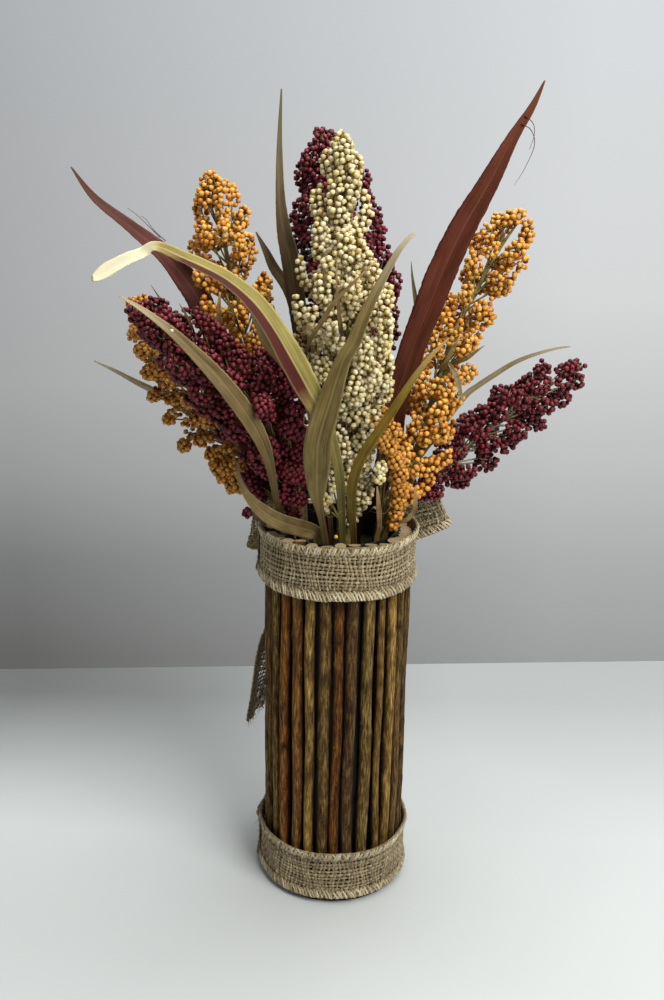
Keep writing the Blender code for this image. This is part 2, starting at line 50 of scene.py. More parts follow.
# Camera: stands a little above the vase and looks slightly down at it, held a touch off level.
CAMERA_PLACE = (0, -0.7143, 0.5196)
CAMERA_TILT, CAMERA_TURN, CAMERA_ROLL = 90 - 17.06, 0.40, 0.98
camera_data = bpy.data.cameras.new("camera")
camera_data.sensor_fit = "VERTICAL"
camera_data.sensor_height = 36.0
camera_data.lens = 37.33
camera = bpy.data.objects.new("camera", camera_data)
bpy.context.scene.collection.objects.link(camera)
turn, tilt, roll = (
    Matrix.Rotation(math.radians(angle), 4, axis)
    for angle, axis in ((CAMERA_TURN, "Z"), (CAMERA_TILT, "X"), (CAMERA_ROLL, "Z"))
)
camera.matrix_world = Matrix.Translation(CAMERA_PLACE) @ turn @ tilt @ roll
bpy.context.scene.camera = camera
bpy.context.scene.view_settings.view_transform = "Standard"


# Studio: a pale table whose far edge lies behind the vase, with painted shade at its far left, a grey wall beyond it
# that glows with painted light, darker downwards and to the left, a soft lamp overhead, and another in front to the
# right.
def paint(colour):
    """Return a colour as a shader needs it, given from 0 to 255 as on a screen, or as one grey from 0 to 1."""
    if isinstance(colour, float):
        return (colour, colour, colour, 1.0)
    parts = [part / 255 for part in colour]
    return tuple(p / 12.92 if p < 0.04045 else ((p + 0.055) / 1.055) ** 2.4 for p in parts) + (1.0,)


def new_finish(name, roughness, specular):
    """Return a new material, its node tree and its shader."""
    material = bpy.data.materials.new(name)
    material.use_nodes = True
    shader = material.node_tree.nodes["Principled BSDF"]
    shader.inputs["Roughness"].default_value = roughness
    shader.inputs["Specular IOR Level"].default_value = specular
    return material, material.node_tree, shader


def step(tree, kind, inputs=None, **settings):
    """Add one node, with its settings, and its inputs as values or as outputs of other nodes."""
    made = tree.nodes.new(kind)
    for key, value in settings.items():
        setattr(made, key, value)
    for socket, value in (inputs or {}).items():
        if isinstance(value, bpy.types.NodeSocket):
            tree.links.new(value, made.inputs[socket])
        else:
            made.inputs[socket].default_value = value
    return made


def own_place(tree):
    """Return where each point of a piece lies."""
    return step(tree, "ShaderNodeTexCoord").outputs["Object"]


def stretched(tree, place, scale):
    """Return a place drawn out or pushed in along each axis."""
    return step(tree, "ShaderNodeMapping", {"Vector": place, "Scale": scale}).outputs[0]


def noise(tree, place, scale, detail, **more):
    """Return an uneven grey that changes from place to place."""
    inputs = {"Scale": scale, "Detail": detail, **more}
    if place is not None:
        inputs["Vector"] = place
    return step(tree, "ShaderNodeTexNoise", inputs).outputs["Fac"]


def ranged(tree, value, first, last, low=0.0, high=1.0):
    """Return low where a value is at first, high where it is at last, and what lies between."""
    inputs = {"Value": value, "From Min": first, "From Max": last, "To Min": low, "To Max": high}
    return step(tree, "ShaderNodeMapRange", inputs).outputs[0]


def reckoned(tree, operation, *values):
    """Return the outcome of one sum."""
    return step(tree, "ShaderNodeMath", dict(enumerate(values)), operation=operation).outputs[0]


def ramp(tree, factor, *stops):
    """Return the colour that runs through the stops, each a place from 0 to 1 and a colour."""
    made = step(tree, "ShaderNodeValToRGB", {"Fac": factor})
    elements = made.color_ramp.elements
    elements[0].position, elements[0].color = stops[0][0], paint(stops[0][1])
    elements[1].position, elements[1].color = stops[-1][0], paint(stops[-1][1])
    for place, colour in stops[1:-1]:
        elements.new(place).color = paint(colour)
    return made.outputs["Color"]


def mixed(tree, factor, first, second, kind="MIX"):
    """Return the mix of two colours."""
    first, second = (c if isinstance(c, bpy.types.NodeSocket) else paint(c) for c in (first, second))
    made = step(tree, "ShaderNodeMix", {0: factor, 6: first, 7: second}, data_type="RGBA", blend_type=kind)
    return made.outputs[2]


def shaded(tree, strength, colour, grey, *stops):
    """Return a colour darkened by what a ramp makes of a grey."""
    return mixed(tree, strength, colour, ramp(tree, grey, *stops), "MULTIPLY")


def dented(tree, height, strength, distance, **more):
    """Return the facing of a surface that a grey dents."""
    inputs = {"Height": height, "Strength": strength, "Distance": distance, **more}
    return step(tree, "ShaderNodeBump", inputs).outputs[0]


def put_on(tree, shader, colour, facing=None):
    """Give a shader its colour, and its facing where it is dented."""
    tree.links.new(colour, shader.inputs["Base Color"])
    if facing is not None:
        tree.links.new(facing, shader.inputs["Normal"])


table_finish, tree, shader = new_finish("pale_table", 0.5, 0.25)
place = own_place(tree)
spot = step(tree, "ShaderNodeSeparateXYZ", {0: place}).outputs
table_colour = ramp(tree, noise(tree, place, 3.0, 3.0), (0.3, (197, 203, 204)), (0.7, (202, 207, 208)))
# Painted shade: the table darkens towards its far edge, and most on the left.
far_painted_shade = ranged(tree, spot["Y"], 0.03, 0.27)
side_painted_shade = ranged(tree, spot["X"], -0.33, 0.13, 0.66, 0.28)
table_painted_shade = reckoned(tree, "MULTIPLY", far_painted_shade, side_painted_shade)
put_on(tree, shader, mixed(tree, table_painted_shade, table_colour, 0.0))

wall_finish = bpy.data.materials.new("grey_wall_with_painted_light")
wall_finish.use_nodes = True
tree = wall_finish.node_tree
tree.nodes.clear()
spot = step(tree, "ShaderNodeSeparateXYZ", {0: own_place(tree)}).outputs
# The wall glows though it is no lamp: its colour is painted light, darker downwards and to the left.
level = ranged(tree, spot["Z"], -1.0, 1.0)
left_painted_light = ramp(
    tree, level, (0.05, (101, 101, 99)), (0.21, (121, 123, 122)), (0.35, (151, 153, 152)),
    (0.48, (166, 168, 168)), (0.73, (170, 171, 173)), (0.96, (172, 176, 178)),
)
right_painted_light = ramp(
    tree, level, (0.06, (158, 160, 159)), (0.22, (171, 174, 173)), (0.36, (190, 192, 191)),
    (0.50, (204, 206, 205)), (0.62, (215, 217, 217)), (0.96, (218, 221, 223)),
)
wall_painted_light = mixed(tree, ranged(tree, spot["X"], -0.95, 0.65), left_painted_light, right_painted_light)
glow = step(tree, "ShaderNodeEmission", {"Color": wall_painted_light, "Strength": 1.0})
step(tree, "ShaderNodeOutputMaterial", {"Surface": glow.outputs[0]})

flats = []
for name, corners, finish in (
    ("table_top", [(-3, -3, 0), (3, -3, 0), (3, 0.567, 0), (-3, 0.126, 0)], table_finish),
    ("wall", [(-5, 2.2, -2), (5, 2.2, -2), (5, 2.2, 3), (-5, 2.2, 3)], wall_finish),
):
    mesh = bpy.data.meshes.new(name)
    mesh.from_pydata(corners, [], [(0, 1, 2, 3)])
    mesh.materials.append(finish)
    flats.append(bpy.data.objects.new(name, mesh))
    bpy.context.scene.collection.objects.link(flats[-1])

world = bpy.data.worlds.new("soft_room")
world.use_nodes = True
room = world.node_tree.nodes["Background"].inputs
room["Color"].default_value, room["Strength"].default_value = paint((204, 202, 196)), 0.36
bpy.context.scene.world = world


def add_lamp(name, place, aim, size, power, colour):
    """Hang a square soft lamp that faces a point."""
    lamp = bpy.data.lights.new(name, "AREA")
    lamp.size = size
    lamp.energy = power
    lamp.color = colour
    holder = bpy.data.objects.new(name, lamp)
    way = np.array(aim) - np.array(place)
    level_reach = math.hypot(way[0], way[1])
    pitch = Matrix.Rotation(math.atan2(level_reach, -way[2]), 4, "X")
    yaw = Matrix.Rotation(math.atan2(way[1], way[0]) - math.pi / 2, 4, "Z")
    holder.matrix_world = Matrix.Translation(place) @ yaw @ pitch
    bpy.context.scene.collection.objects.link(holder)


add_lamp("overhead_lamp", (0.10, 0.20, 1.75), (0, 0, 0.25), 0.9, 18.0, (1.0, 0.99, 0.97))
add_lamp("front_lamp", (0.70, -0.85, 1.35), (0, 0, 0.28), 0.8, 24.0, (1.0, 0.98, 0.94))



# Pot: a black moulded plastic cup with a flat foot that the twigs stand on. It shows dark between the twigs,
# as a thin line under the lower ribbon, and as the inside of the mouth.
def dress(node, finish):
    """Put a finish on a solid that shows as it is."""
    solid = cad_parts[node]
    solid.material_slots[0].material = finish


pot_finish, tree, shader = new_finish("black_moulded_plastic", 0.45, 0.35)
colour = ramp(tree, noise(tree, None, 180.0, 5.0), (0.35, (14, 13, 12)), (0.75, (34, 31, 28)))
put_on(tree, shader, colour, dented(tree, noise(tree, None, 1400.0, 2.0), 0.3, 0.0002))
dress("pot", pot_finish)


# Foam: a block of dry floral foam that fills the pot up to a little below its rim, coloured dark partly as painted
# shade for the deep mouth. It is open-celled and crumbly, and each stem and leaf stalk is pushed into it.
foam_finish, tree, shader = new_finish("dry_floral_foam", 0.95, 0.1)
cells = step(tree, "ShaderNodeTexVoronoi", {"Scale": 900.0}).outputs["Distance"]
pores = ramp(tree, cells, (0.1, (22, 26, 18)), (0.6, (58, 62, 44)))
colour = mixed(tree, noise(tree, None, 220.0, 6.0), pores, (40, 36, 26))
put_on(tree, shader, colour, dented(tree, cells, 0.8, 0.0005))
dress("foam", foam_finish)


# Twigs: thirty straight natural sticks with their bark on, cut to one length and stood side by side round the
# pot. Each has its own colour of bark, a few knots, and a pale cut end that shows above the upper ribbon.
def tube_faces(count, rings, sides):
    """Return the quads and the end caps of tubes whose rings of points lie one after another."""
    near = np.arange(sides)
    after = (near + 1) % sides
    start = np.arange(rings - 1)[:, None] * sides
    quads = np.stack([start + near, start + after, start + sides + after, start + sides + near], axis=-1)
    caps = np.stack([near[::-1], (rings - 1) * sides + near])
    shift = (np.arange(count) * rings * sides)[:, None, None]
    return (quads.reshape(1, -1, 4) + shift).reshape(-1, 4), (caps[None] + shift).reshape(-1, sides)


def make_piece(name, batches, finishes, node=None):
    """Make one mesh of batches of points, groups of faces with their finish, and three numbers for each point.

    The numbers are kept as the mesh's own attribute "lay", which the finishes read. node is what it stands for."""
    loops, totals, worn = [], [], []
    start = 0
    for points, groups, _ in batches:
        for group, finish in groups:
            loops.append((group + start).ravel())
            totals.append(np.full(len(group), group.shape[1]))
            worn.append(np.full(len(group), finish))
        start += len(points)
    loops, totals = np.concatenate(loops), np.concatenate(totals)
    mesh = bpy.data.meshes.new(name)
    mesh.vertices.add(start)
    mesh.vertices.foreach_set("co", np.concatenate([batch[0] for batch in batches]).astype(np.float32).ravel())
    mesh.loops.add(len(loops))
    mesh.loops.foreach_set("vertex_index", loops.astype(np.int32))
    mesh.polygons.add(len(totals))
    mesh.polygons.foreach_set("loop_start", (np.cumsum(totals) - totals).astype(np.int32))
    mesh.polygons.foreach_set("material_index", np.concatenate(worn).astype(np.int32))
    mesh.update(calc_edges=True)
    lay = mesh.attributes.new("lay", "FLOAT_VECTOR", "POINT")
    lay.data.foreach_set("vector", np.concatenate([batch[2] for batch in batches]).astype(np.float32).ravel())
    mesh.shade_smooth()
    for finish in finishes:
        mesh.materials.append(finish)
    piece = bpy.data.objects.new(name, mesh)
    bpy.context.scene.collection.objects.link(piece)
    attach(piece, "root")
    if node is not None:
        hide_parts(node)
    return piece


def lay_parts(tree):
    """Return the three numbers that a mesh keeps for each point."""
    kept = step(tree, "ShaderNodeAttribute", attribute_name="lay")
    return step(tree, "ShaderNodeSeparateXYZ", {0: kept.outputs["Vector"]}).outputs


def bark(name, deep, body, light):
    """Return bark with long streaks, blotches, dark knots and pale flecks of lichen, and painted shade on the sides
    that face the next twigs.
    """
    material, tree, shader = new_finish(name, 0.85, 0.15)
    place = own_place(tree)
    knot, _, outward = lay_parts(tree)
    streaks = noise(tree, stretched(tree, place, (1.0, 1.0, 0.11)), 900.0, 8.0, Roughness=0.65)
    blotches = noise(tree, stretched(tree, place, (1.0, 1.0, 0.35)), 150.0, 6.0, Roughness=0.6)
    flecks = noise(tree, place, 520.0, 3.0)
    colour = ramp(tree, streaks, (0.32, deep), (0.50, body), (0.66, light))
    colour = shaded(tree, 0.65, colour, blotches, (0.36, (104, 86, 66)), (0.54, 1.0))
    # Painted shade: bark that faces sideways or into the pot, into the gaps between twigs, is darkened.
    colour = shaded(tree, 1.0, colour, outward, (0.10, (96, 82, 66)), (0.50, (206, 200, 190)), (0.88, 1.0))
    colour = mixed(tree, ramp(tree, flecks, (0.66, 0.0), (0.74, 0.4)), colour, (158, 142, 108))
    colour = mixed(tree, knot, colour, (24, 14, 7))
    ridges = dented(tree, streaks, 0.9, 0.0007)
    put_on(tree, shader, colour, dented(tree, flecks, 0.5, 0.0003, Normal=ridges))
    return material


cut_wood, tree, shader = new_finish("cut_twig_end", 0.85, 0.2)
year_rings = reckoned(tree, "SINE", reckoned(tree, "MULTIPLY", lay_parts(tree)[1], 30.0))
put_on(tree, shader, ramp(tree, year_rings, (0.0, (168, 150, 116)), (1.0, (132, 111, 78))))

BARKS = {kind: bark(f"{kind}_bark", *colours) for kind, colours in {
    "red_brown": ((52, 27, 7), (122, 77, 29), (172, 122, 60)),
    "chestnut": ((38, 18, 4), (88, 53, 16), (138, 92, 38)),
    "light_brown": ((46, 27, 8), (112, 76, 32), (164, 122, 62)),
    "tan": ((60, 41, 13), (138, 107, 52), (192, 162, 98)),
    "grey_brown": ((40, 26, 9), (94, 69, 34), (146, 120, 72)),
    "purple_brown": ((33, 20, 8), (78, 54, 28), (124, 98, 60)),
    "olive_brown": ((44, 31, 10), (108, 85, 42), (164, 140, 84)),
    "straw_brown": ((50, 33, 11), (114, 85, 40), (162, 132, 74)),
}.items()}
TWIG_CIRCLE = 0.0493
TWIG_TWIST = math.radians(1.3)
TWIG_SWAY = 0.00030
CUT_BELOW_TOP = 0.0042
KNOT_LENGTHS = (0.012, 0.010)
KNOT_HEIGHTS = (0.00022, 0.0008)
# The angle round the pot, the width in millimetres and the bark of each twig that shows in front.
FRONT_TWIGS = [
    (-45.5, 8.8, "red_brown"), (-32, 8.6, "light_brown"), (-21, 7.6, "tan"), (-8.5, 8.4, "grey_brown"),
    (2, 7.6, "chestnut"), (13, 8.6, "purple_brown"), (27, 9.2, "olive_brown"), (40, 6.4, "straw_brown"),
    (51.5, 8.6, "tan"), (63, 8.4, "grey_brown"), (74.5, 8.2, "purple_brown"), (86, 8.8, "grey_brown"),
]
BACK_BARKS = ["olive_brown", "red_brown", "grey_brown", "straw_brown", "purple_brown", "light_brown"]
back_twigs = [
    (97.5 + 205 / 17 * place, 8.2 + 0.6 * math.sin(2.3 * place), BACK_BARKS[place % 6]) for place in range(15)
] + [(278.4, 8.5, "olive_brown"), (290.4, 8.6, "grey_brown"), (302.5, 8.6, "olive_brown")]
TWIG_RINGS, TWIG_SIDES, END_RINGS = 64, 18, 4
for number, (angle, width, kind) in enumerate(FRONT_TWIGS + back_twigs, start=1):
    node = f"twig_{number:02d}"
    low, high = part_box(node)
    chance = np.random.default_rng(number)
    rise = np.linspace(0.0, 1.0, TWIG_RINGS)
    round_it = np.linspace(0.0, 2 * math.pi, TWIG_SIDES, endpoint=False)
    turn = math.radians(angle) + TWIG_TWIST * (rise - 1.0)
    sway = sum(
        TWIG_SWAY * np.sin(2 * math.pi * (beat * rise[:, None] + chance.random(2))) for beat in (0.6, 1.3, 2.4)
    )
    reach = width / 2 * MM * (1 + 0.025 * np.sin(2 * math.pi * (0.7 * rise + chance.random())))
    radius = reach[:, None] * (
        1 + 0.026 * np.sin(3 * round_it + 4 * rise[:, None] + 6 * chance.random())
        + 0.016 * np.sin(7 * round_it - 3 * rise[:, None] + 6 * chance.random())
        + 0.010 * chance.standard_normal((TWIG_RINGS, TWIG_SIDES))
    )
    # One to three knots, each a low ring round the twig with a bud on one side, and dark.
    dark = np.zeros((TWIG_RINGS, TWIG_SIDES))
    for _ in range(chance.integers(1, 4)):
        knot_rise, knot_turn = chance.uniform(0.16, 0.80), chance.uniform(0, 2 * math.pi)
        ring = np.exp(-((rise - knot_rise) / KNOT_LENGTHS[0]) ** 2)[:, None]
        bud = np.exp(-((rise - knot_rise - 0.006) / KNOT_LENGTHS[1]) ** 2)[:, None]
        bud = bud * np.clip(np.cos(round_it - knot_turn), 0, 1) ** 3
        radius = radius + KNOT_HEIGHTS[0] * ring + KNOT_HEIGHTS[1] * bud
        dark = np.maximum(dark, 0.35 * ring + 0.6 * bud)
    # The cut end: rings that close in on the middle, a little aslant.
    end = np.linspace(1.0, 0.06, END_RINGS)[:, None]
    radius = np.vstack([radius, radius[-1] * (end - 0.05)])
    shift = np.vstack([sway, np.repeat(sway[-1:], END_RINGS, axis=0)])
    turn = np.concatenate([turn, np.full(END_RINGS, turn[-1])])
    slant = chance.uniform(-0.22, 0.22)
    top = high.z - CUT_BELOW_TOP - 0.0045 * math.sin(math.radians(angle)) ** 4
    level = np.concatenate([low.z + rise * (top - low.z), np.full(END_RINGS, top)])
    x = TWIG_CIRCLE * np.sin(turn)[:, None] + shift[:, :1] + radius * np.cos(round_it)
    y = -TWIG_CIRCLE * np.cos(turn)[:, None] + shift[:, 1:] + radius * np.sin(round_it)
    tilt = np.concatenate([np.clip((rise - 0.97) / 0.03, 0, 1), np.ones(END_RINGS)])[:, None]
    z = level[:, None] + tilt * slant * radius * np.sin(round_it)
    points = np.stack([x, y, z], axis=-1).reshape(-1, 3)
    rings = TWIG_RINGS + END_RINGS
    dark = np.vstack([dark, np.zeros((END_RINGS, TWIG_SIDES))]).ravel()
    middle = np.concatenate([np.ones(TWIG_RINGS), end[:, 0]])[:, None] * np.ones(TWIG_SIDES)
    # outward is 1 where the bark faces out of the pot and 0 where it faces the next twigs; the bark darkens low
    # values as painted shade.
    outward = np.clip(np.cos(round_it) * np.sin(turn)[:, None] - np.sin(round_it) * np.cos(turn)[:, None], 0, 1)
    lay = np.stack([dark, middle.ravel(), outward.ravel()], axis=-1)
    quads, caps = tube_faces(1, rings, TWIG_SIDES)
    bark_quads = (TWIG_RINGS - 1) * TWIG_SIDES
    faces = [(quads[:bark_quads], 0), (quads[bark_quads:], 1), (caps, 1)]
    make_piece(f"bark_{node}", [(points, faces, lay)], [BARKS[kind], cut_wood], node)


# Burlap ribbon: an open plain weave of jute, 38 mm wide, with its long edges whipped over a cord. One turn is
# drawn tight round the top of the twigs and one round the foot, each lapped and glued at the left.
def unit(vectors):
    """Return the vectors at length one."""
    return vectors / np.maximum(np.linalg.norm(vectors, axis=-1, keepdims=True), 1e-12)


def tubes(paths, wide, flat, facing, sides):
    """Return the points of tubes along paths, with their half widths across and along where they face."""
    ways = unit(np.gradient(paths, axis=1))
    side = unit(np.cross(facing, ways))
    out = np.cross(ways, side)
    turn = np.linspace(0.0, 2 * math.pi, sides, endpoint=False)
    wide = np.broadcast_to(wide, paths.shape[:2])[..., None, None]
    flat = np.broadcast_to(flat, paths.shape[:2])[..., None, None]
    ring = side[:, :, None] * np.cos(turn)[:, None] * wide + out[:, :, None] * np.sin(turn)[:, None] * flat
    return (paths[:, :, None] + ring).reshape(-1, 3)


def tube_batch(paths, wide, flat, facing, sides, finish, shades, crest=1.0):
    """Return a batch of tubes for make_piece, each with its own tone; crest says where they lie uppermost, and the
    burlap darkens the lower parts as painted shade.
    """
    points = tubes(paths, wide, flat, facing, sides)
    per_tube = paths.shape[1] * sides
    lay = np.zeros((len(points), 3))
    lay[:, 0] = np.repeat(shades, per_tube)
    lay[:, 1] = np.tile(np.repeat(np.linspace(0, 1, paths.shape[1]), sides), len(paths))
    lay[:, 2] = np.repeat(np.broadcast_to(crest, paths.shape[:2]).ravel(), sides)
    return points, [(faces, finish) for faces in tube_faces(len(paths), paths.shape[1], sides)], lay


def surface_facing(surface, u, v):
    """Return the way that a surface faces."""
    tiny = 1e-3
    along = surface(u + tiny, v) - surface(u - tiny, v)
    across = surface(u, v + tiny) - surface(u, v - tiny)
    return unit(np.cross(along, across))


burlap, tree, shader = new_finish("jute_burlap", 0.9, 0.15)
place = own_place(tree)
tint, _, crest = lay_parts(tree)
fibres, weather = noise(tree, place, 1900.0, 3.0), noise(tree, place, 70.0, 3.0)
colour = ramp(
    tree, tint, (0.0, (146, 128, 93)), (0.45, (187, 170, 132)), (0.8, (214, 199, 162)), (1.0, (238, 227, 194)),
)
# Painted shade: thread where it dips under a crossing thread, and cords and stitch ends that lie beneath, are
# darkened.
colour = shaded(tree, 1.0, colour, crest, (0.0, (146, 132, 108)), (0.5, (214, 208, 196)), (1.0, 1.0))
colour = shaded(tree, 0.7, colour, fibres, (0.3, (150, 140, 128)), (0.65, 1.0))
colour = shaded(tree, 0.7, colour, weather, (0.35, (200, 196, 188)), (0.65, 1.0))
put_on(tree, shader, colour, dented(tree, fibres, 0.6, 0.0002))
shader.inputs["Sheen Weight"].default_value = 0.2
shader.inputs["Sheen Roughness"].default_value = 0.6

RIBBON_WIDTH = 0.038
THREAD_PITCH = 0.00280
THREAD_ROWS = 13
THREAD_SIDES = 5
THREAD_LIFT = 0.46
# How far in from the edge each cord lies, as a share of the width, and its half width in millimetres.
EDGE_CORDS = ((-0.012, 1.35), (0.055, 1.5))
# The spacing of each layer of stitches in metres, how it leans, its height in millimetres and its shade.
STITCH_LAYERS = ((0.0025, -1.9, 1.25, 0.50), (0.0024, 1.7, 1.5, 0.82))
FIBRES_PER_METRE = 620


def whipped_edge(chance, surface, length, long_u, edge, inward):
    """Return the batches of one long edge: two cords, and two layers of stitches over them."""
    trim = []
    wave = 0.012 * np.sin(2 * math.pi * (3.0 * long_u + chance.random()))
    for depth, wide in EDGE_CORDS:
        cord_v = edge + inward * depth + wave
        cord = surface(long_u, cord_v)[None]
        cord_facing = surface_facing(surface, long_u, cord_v)[None]
        cord = cord + cord_facing * 0.35 * MM
        # The cords lie under the stitches and get a crest of 0.4, so painted shade.
        trim.append(tube_batch(cord, wide * MM, 0.85 * MM, cord_facing, 8, 0, [0.35], 0.4))
    for spacing, lean_way, high, tint in STITCH_LAYERS:
        stitches = int(length / spacing)
        start = (np.arange(stitches) + 0.5 + 0.16 * chance.standard_normal(stitches)) / stitches
        start = np.clip(start, 0.012, 0.988)[:, None]
        lean = lean_way * 0.0024 / length * (1 + 0.25 * chance.standard_normal((stitches, 1)))
        depth = 0.135 + 0.015 * chance.standard_normal((stitches, 1))
        over_edge = 0.040 + 0.008 * chance.standard_normal((stitches, 1))
        stitch_u = start + lean * np.array([[0.0, 0.3, 0.6, 0.9, 1.1, 1.15]])
        stitch_v = edge + inward * (
            depth * np.array([[1.0, 0.86, 0.45, 0.0, 0.0, 0.15]]) - over_edge * np.array([[0, 0, 0, 0.6, 1.0, 0.7]])
        )
        rise = np.array([-0.1, 1.0, high, high, 0.6, -0.8])[:, None] * MM
        stitch_facing = surface_facing(surface, stitch_u, stitch_v)
        paths = surface(stitch_u, stitch_v) + stitch_facing * rise
        shades = np.clip(tint + 0.2 * chance.standard_normal(stitches), 0, 1)
        # The stitch ends, tucked under the cloth, get a low crest and so painted shade.
        crest = np.array([0.1, 0.7, 1.0, 1.0, 0.6, 0.1])
        trim.append(tube_batch(paths, 0.76 * MM, 0.46 * MM, stitch_facing, 5, 0, shades, crest))
    return trim


def loose_fibres(chance, surface, length):
    """Return a batch of hair-thin fibres that stand off the cloth."""
    fibre_count = int(length * FIBRES_PER_METRE)
    fibre_u, fibre_v = chance.random((fibre_count, 1)), chance.random((fibre_count, 1))
    fibre_facing = np.repeat(surface_facing(surface, fibre_u, fibre_v), 4, axis=1)
    root = surface(fibre_u, fibre_v) + fibre_facing[:, :1] * 0.5 * MM
    drift = unit(chance.standard_normal((fibre_count, 1, 3))) + 0.5 * fibre_facing[:, :1]
    curl = chance.standard_normal((fibre_count, 1, 3)) * 0.35
    far = np.linspace(0, 1, 4)[None, :, None]
    reach = chance.uniform(1.2, 4.2, (fibre_count, 1, 1)) * MM
    lifted = fibre_facing * (np.abs(np.sum(drift * fibre_facing, axis=-1, keepdims=True)))
    drift = drift - fibre_facing * np.sum(drift * fibre_facing, axis=-1, keepdims=True) + 0.6 * lifted
    paths = root + reach * (drift * far + curl * far ** 2)
    outward = np.sum((paths - root) * fibre_facing, axis=-1, keepdims=True)
    paths = paths - np.minimum(outward, 0) * fibre_facing
    return tube_batch(paths, 0.075 * MM, 0.075 * MM, fibre_facing + 0.01, 3, 0, chance.random(fibre_count))


def frayed_end(chance, surface, end, rows):
    """Return a batch of the loose threads at one cut end."""
    count = rows * 3
    end_v = np.linspace(0.0, 1.0, count)[:, None] + 0.01 * chance.standard_normal((count, 1))
    end_u = np.full_like(end_v, end)
    onward = unit(surface(end_u, end_v) - surface(np.full_like(end_v, end + (0.02 - 0.04 * end)), end_v))
    end_facing = np.repeat(surface_facing(surface, end_u, end_v), 5, axis=1)
    far = np.linspace(0, 1, 5)[None, :, None]
    spread = 0.35 * chance.standard_normal((count, 1, 3)) * far ** 1.5
    reach = chance.uniform(1.5, 7.0, (count, 1, 1)) * MM
    paths = surface(end_u, end_v) + reach * (onward * far + spread)
    size = chance.uniform(0.14, 0.48, (count, 1)) * MM * np.linspace(1.0, 0.35, 5)
    shades = np.clip(chance.normal(0.6, 0.25, count), 0, 1)
    return tube_batch(paths, size, size * 0.7, end_facing, 4, 0, shades)


def weave(node, surface, length, seed, frayed=(0, 1), rows=THREAD_ROWS):
    """Weave the ribbon of a node on a surface, with its whipped edges, loose fibres and frayed ends."""
    chance = np.random.default_rng(seed)
    columns = int(round(length / THREAD_PITCH)) + 1
    u = np.linspace(0, 1, columns)[None, :] + 0.15 / columns * chance.standard_normal((1, columns))
    v = np.linspace(0, 1, rows)[:, None] + 0.13 / rows * chance.standard_normal((rows, 1))
    u = u + 0.45 / columns * np.sin(2 * math.pi * (1.2 * v + 9.0 * u))
    v = v + 0.32 / rows * np.sin(2 * math.pi * (3.5 * u + chance.random()) + 3 * v)
    middle = surface(u, v)
    facing = unit(np.cross(np.gradient(middle, axis=1), np.gradient(middle, axis=0)))
    over = np.where((np.arange(rows)[:, None] + np.arange(columns)) % 2, 1.0, -1.0)[..., None]
    lift = facing * over * THREAD_LIFT * MM
    batches = []
    # uppermost is 1 where a thread lies over its crossing thread and 0 where it passes under, where the burlap paints
    # shade.
    uppermost = 0.5 + 0.5 * over[..., 0]
    for paths, faces, crest in (
        (middle + lift, facing, uppermost),
        ((middle - lift).transpose(1, 0, 2), facing.transpose(1, 0, 2), 1 - uppermost.T),
    ):
        count, samples = paths.shape[:2]
        slub = 1 + 0.14 * chance.standard_normal((count, 1)) + 0.12 * chance.standard_normal((count, samples))
        slub = np.clip(slub, 0.7, 1.35)
        shades = np.clip(0.5 + 0.22 * chance.standard_normal(count), 0, 1)
        batches.append(tube_batch(paths, 0.90 * MM * slub, 0.45 * MM * slub, faces, THREAD_SIDES, 0, shades, crest))
    cloth = make_piece(f"burlap_{node}", batches, [burlap], node)
    long_u = np.linspace(0, 1, columns)
    trim = []
    for edge, inward in ((0.0, 1.0), (1.0, -1.0)):
        trim += whipped_edge(chance, surface, length, long_u, edge, inward)
    trim.append(loose_fibres(chance, surface, length))
    trim += [frayed_end(chance, surface, end, rows) for end in frayed]
    edging = make_piece(f"burlap_{node}_edging", trim, [burlap], node)


UPPER_BAND_BASE, LOWER_BAND_BASE = 0.2455, 0.0050
BAND_RADIUS = 0.0560
LAP = math.radians(14)
BAND_TURN = 2 * math.pi + LAP


def band_surface(base, swell, roll, start):
    """Return the surface of one lapped turn of ribbon: swell makes it lumpy, roll flares its edges."""
    def surface(u, v):
        turn = start + u * BAND_TURN
        lapped = np.clip((u * BAND_TURN - 2 * math.pi + 0.1) / LAP, 0, 1)
        lumps = np.sin(3 * turn + 0.8) * 0.5 + np.sin(7 * turn + 3 * v) * 0.3 + np.sin(13 * turn - 4 * v) * 0.2
        radius = BAND_RADIUS + swell * lumps + 0.0019 * lapped + roll * (2 * v - 1) ** 4
        level = base + 0.0012 + (RIBBON_WIDTH - 0.0024) * v + 0.0004 * np.sin(5 * turn + 1.5) + swell * 0.6 * lumps
        radius, level, turn = np.broadcast_arrays(radius, level, turn)
        return np.stack([radius * np.sin(turn), -radius * np.cos(turn), level], axis=-1)
    return surface


BAND_LENGTH = BAND_RADIUS * BAND_TURN
for node, surface, seed in (
    ("ribbon_upper", band_surface(UPPER_BAND_BASE, 0.00035, 0.0006, math.radians(-104)), 31),
    ("ribbon_lower", band_surface(LOWER_BAND_BASE, 0.00075, 0.0007, math.radians(-100)), 32),
):
    weave(node, surface, BAND_LENGTH, seed)


# Bow: the same ribbon tied at the back over the upper turn, with a loop to each side, two tails that hang from
# under it and end in a fray, and a short wrap of ribbon as the knot.
def smooth_run(points, count):
    """Return evenly spaced rows of a smooth curve through rows of positions and sizes in millimetres."""
    rows = np.array(points, float) * MM
    rows = np.vstack([rows[:1], rows, rows[-1:]])
    part = np.linspace(0, 1, 12, endpoint=False)[:, None]
    fine = [
        0.5 * (2 * b + part * (c - a + part * ((2 * a - 5 * b + 4 * c - d) + part * (3 * b - a - 3 * c + d))))
        for a, b, c, d in zip(rows, rows[1:], rows[2:], rows[3:])
    ]
    fine = np.vstack(fine + [rows[-1:]])
    reach = np.concatenate([[0.0], np.cumsum(np.linalg.norm(np.diff(fine[:, :3], axis=0), axis=1))])
    even = np.linspace(0, reach[-1], count)
    return np.stack([np.interp(even, reach, column) for column in fine.T], axis=-1), reach[-1]


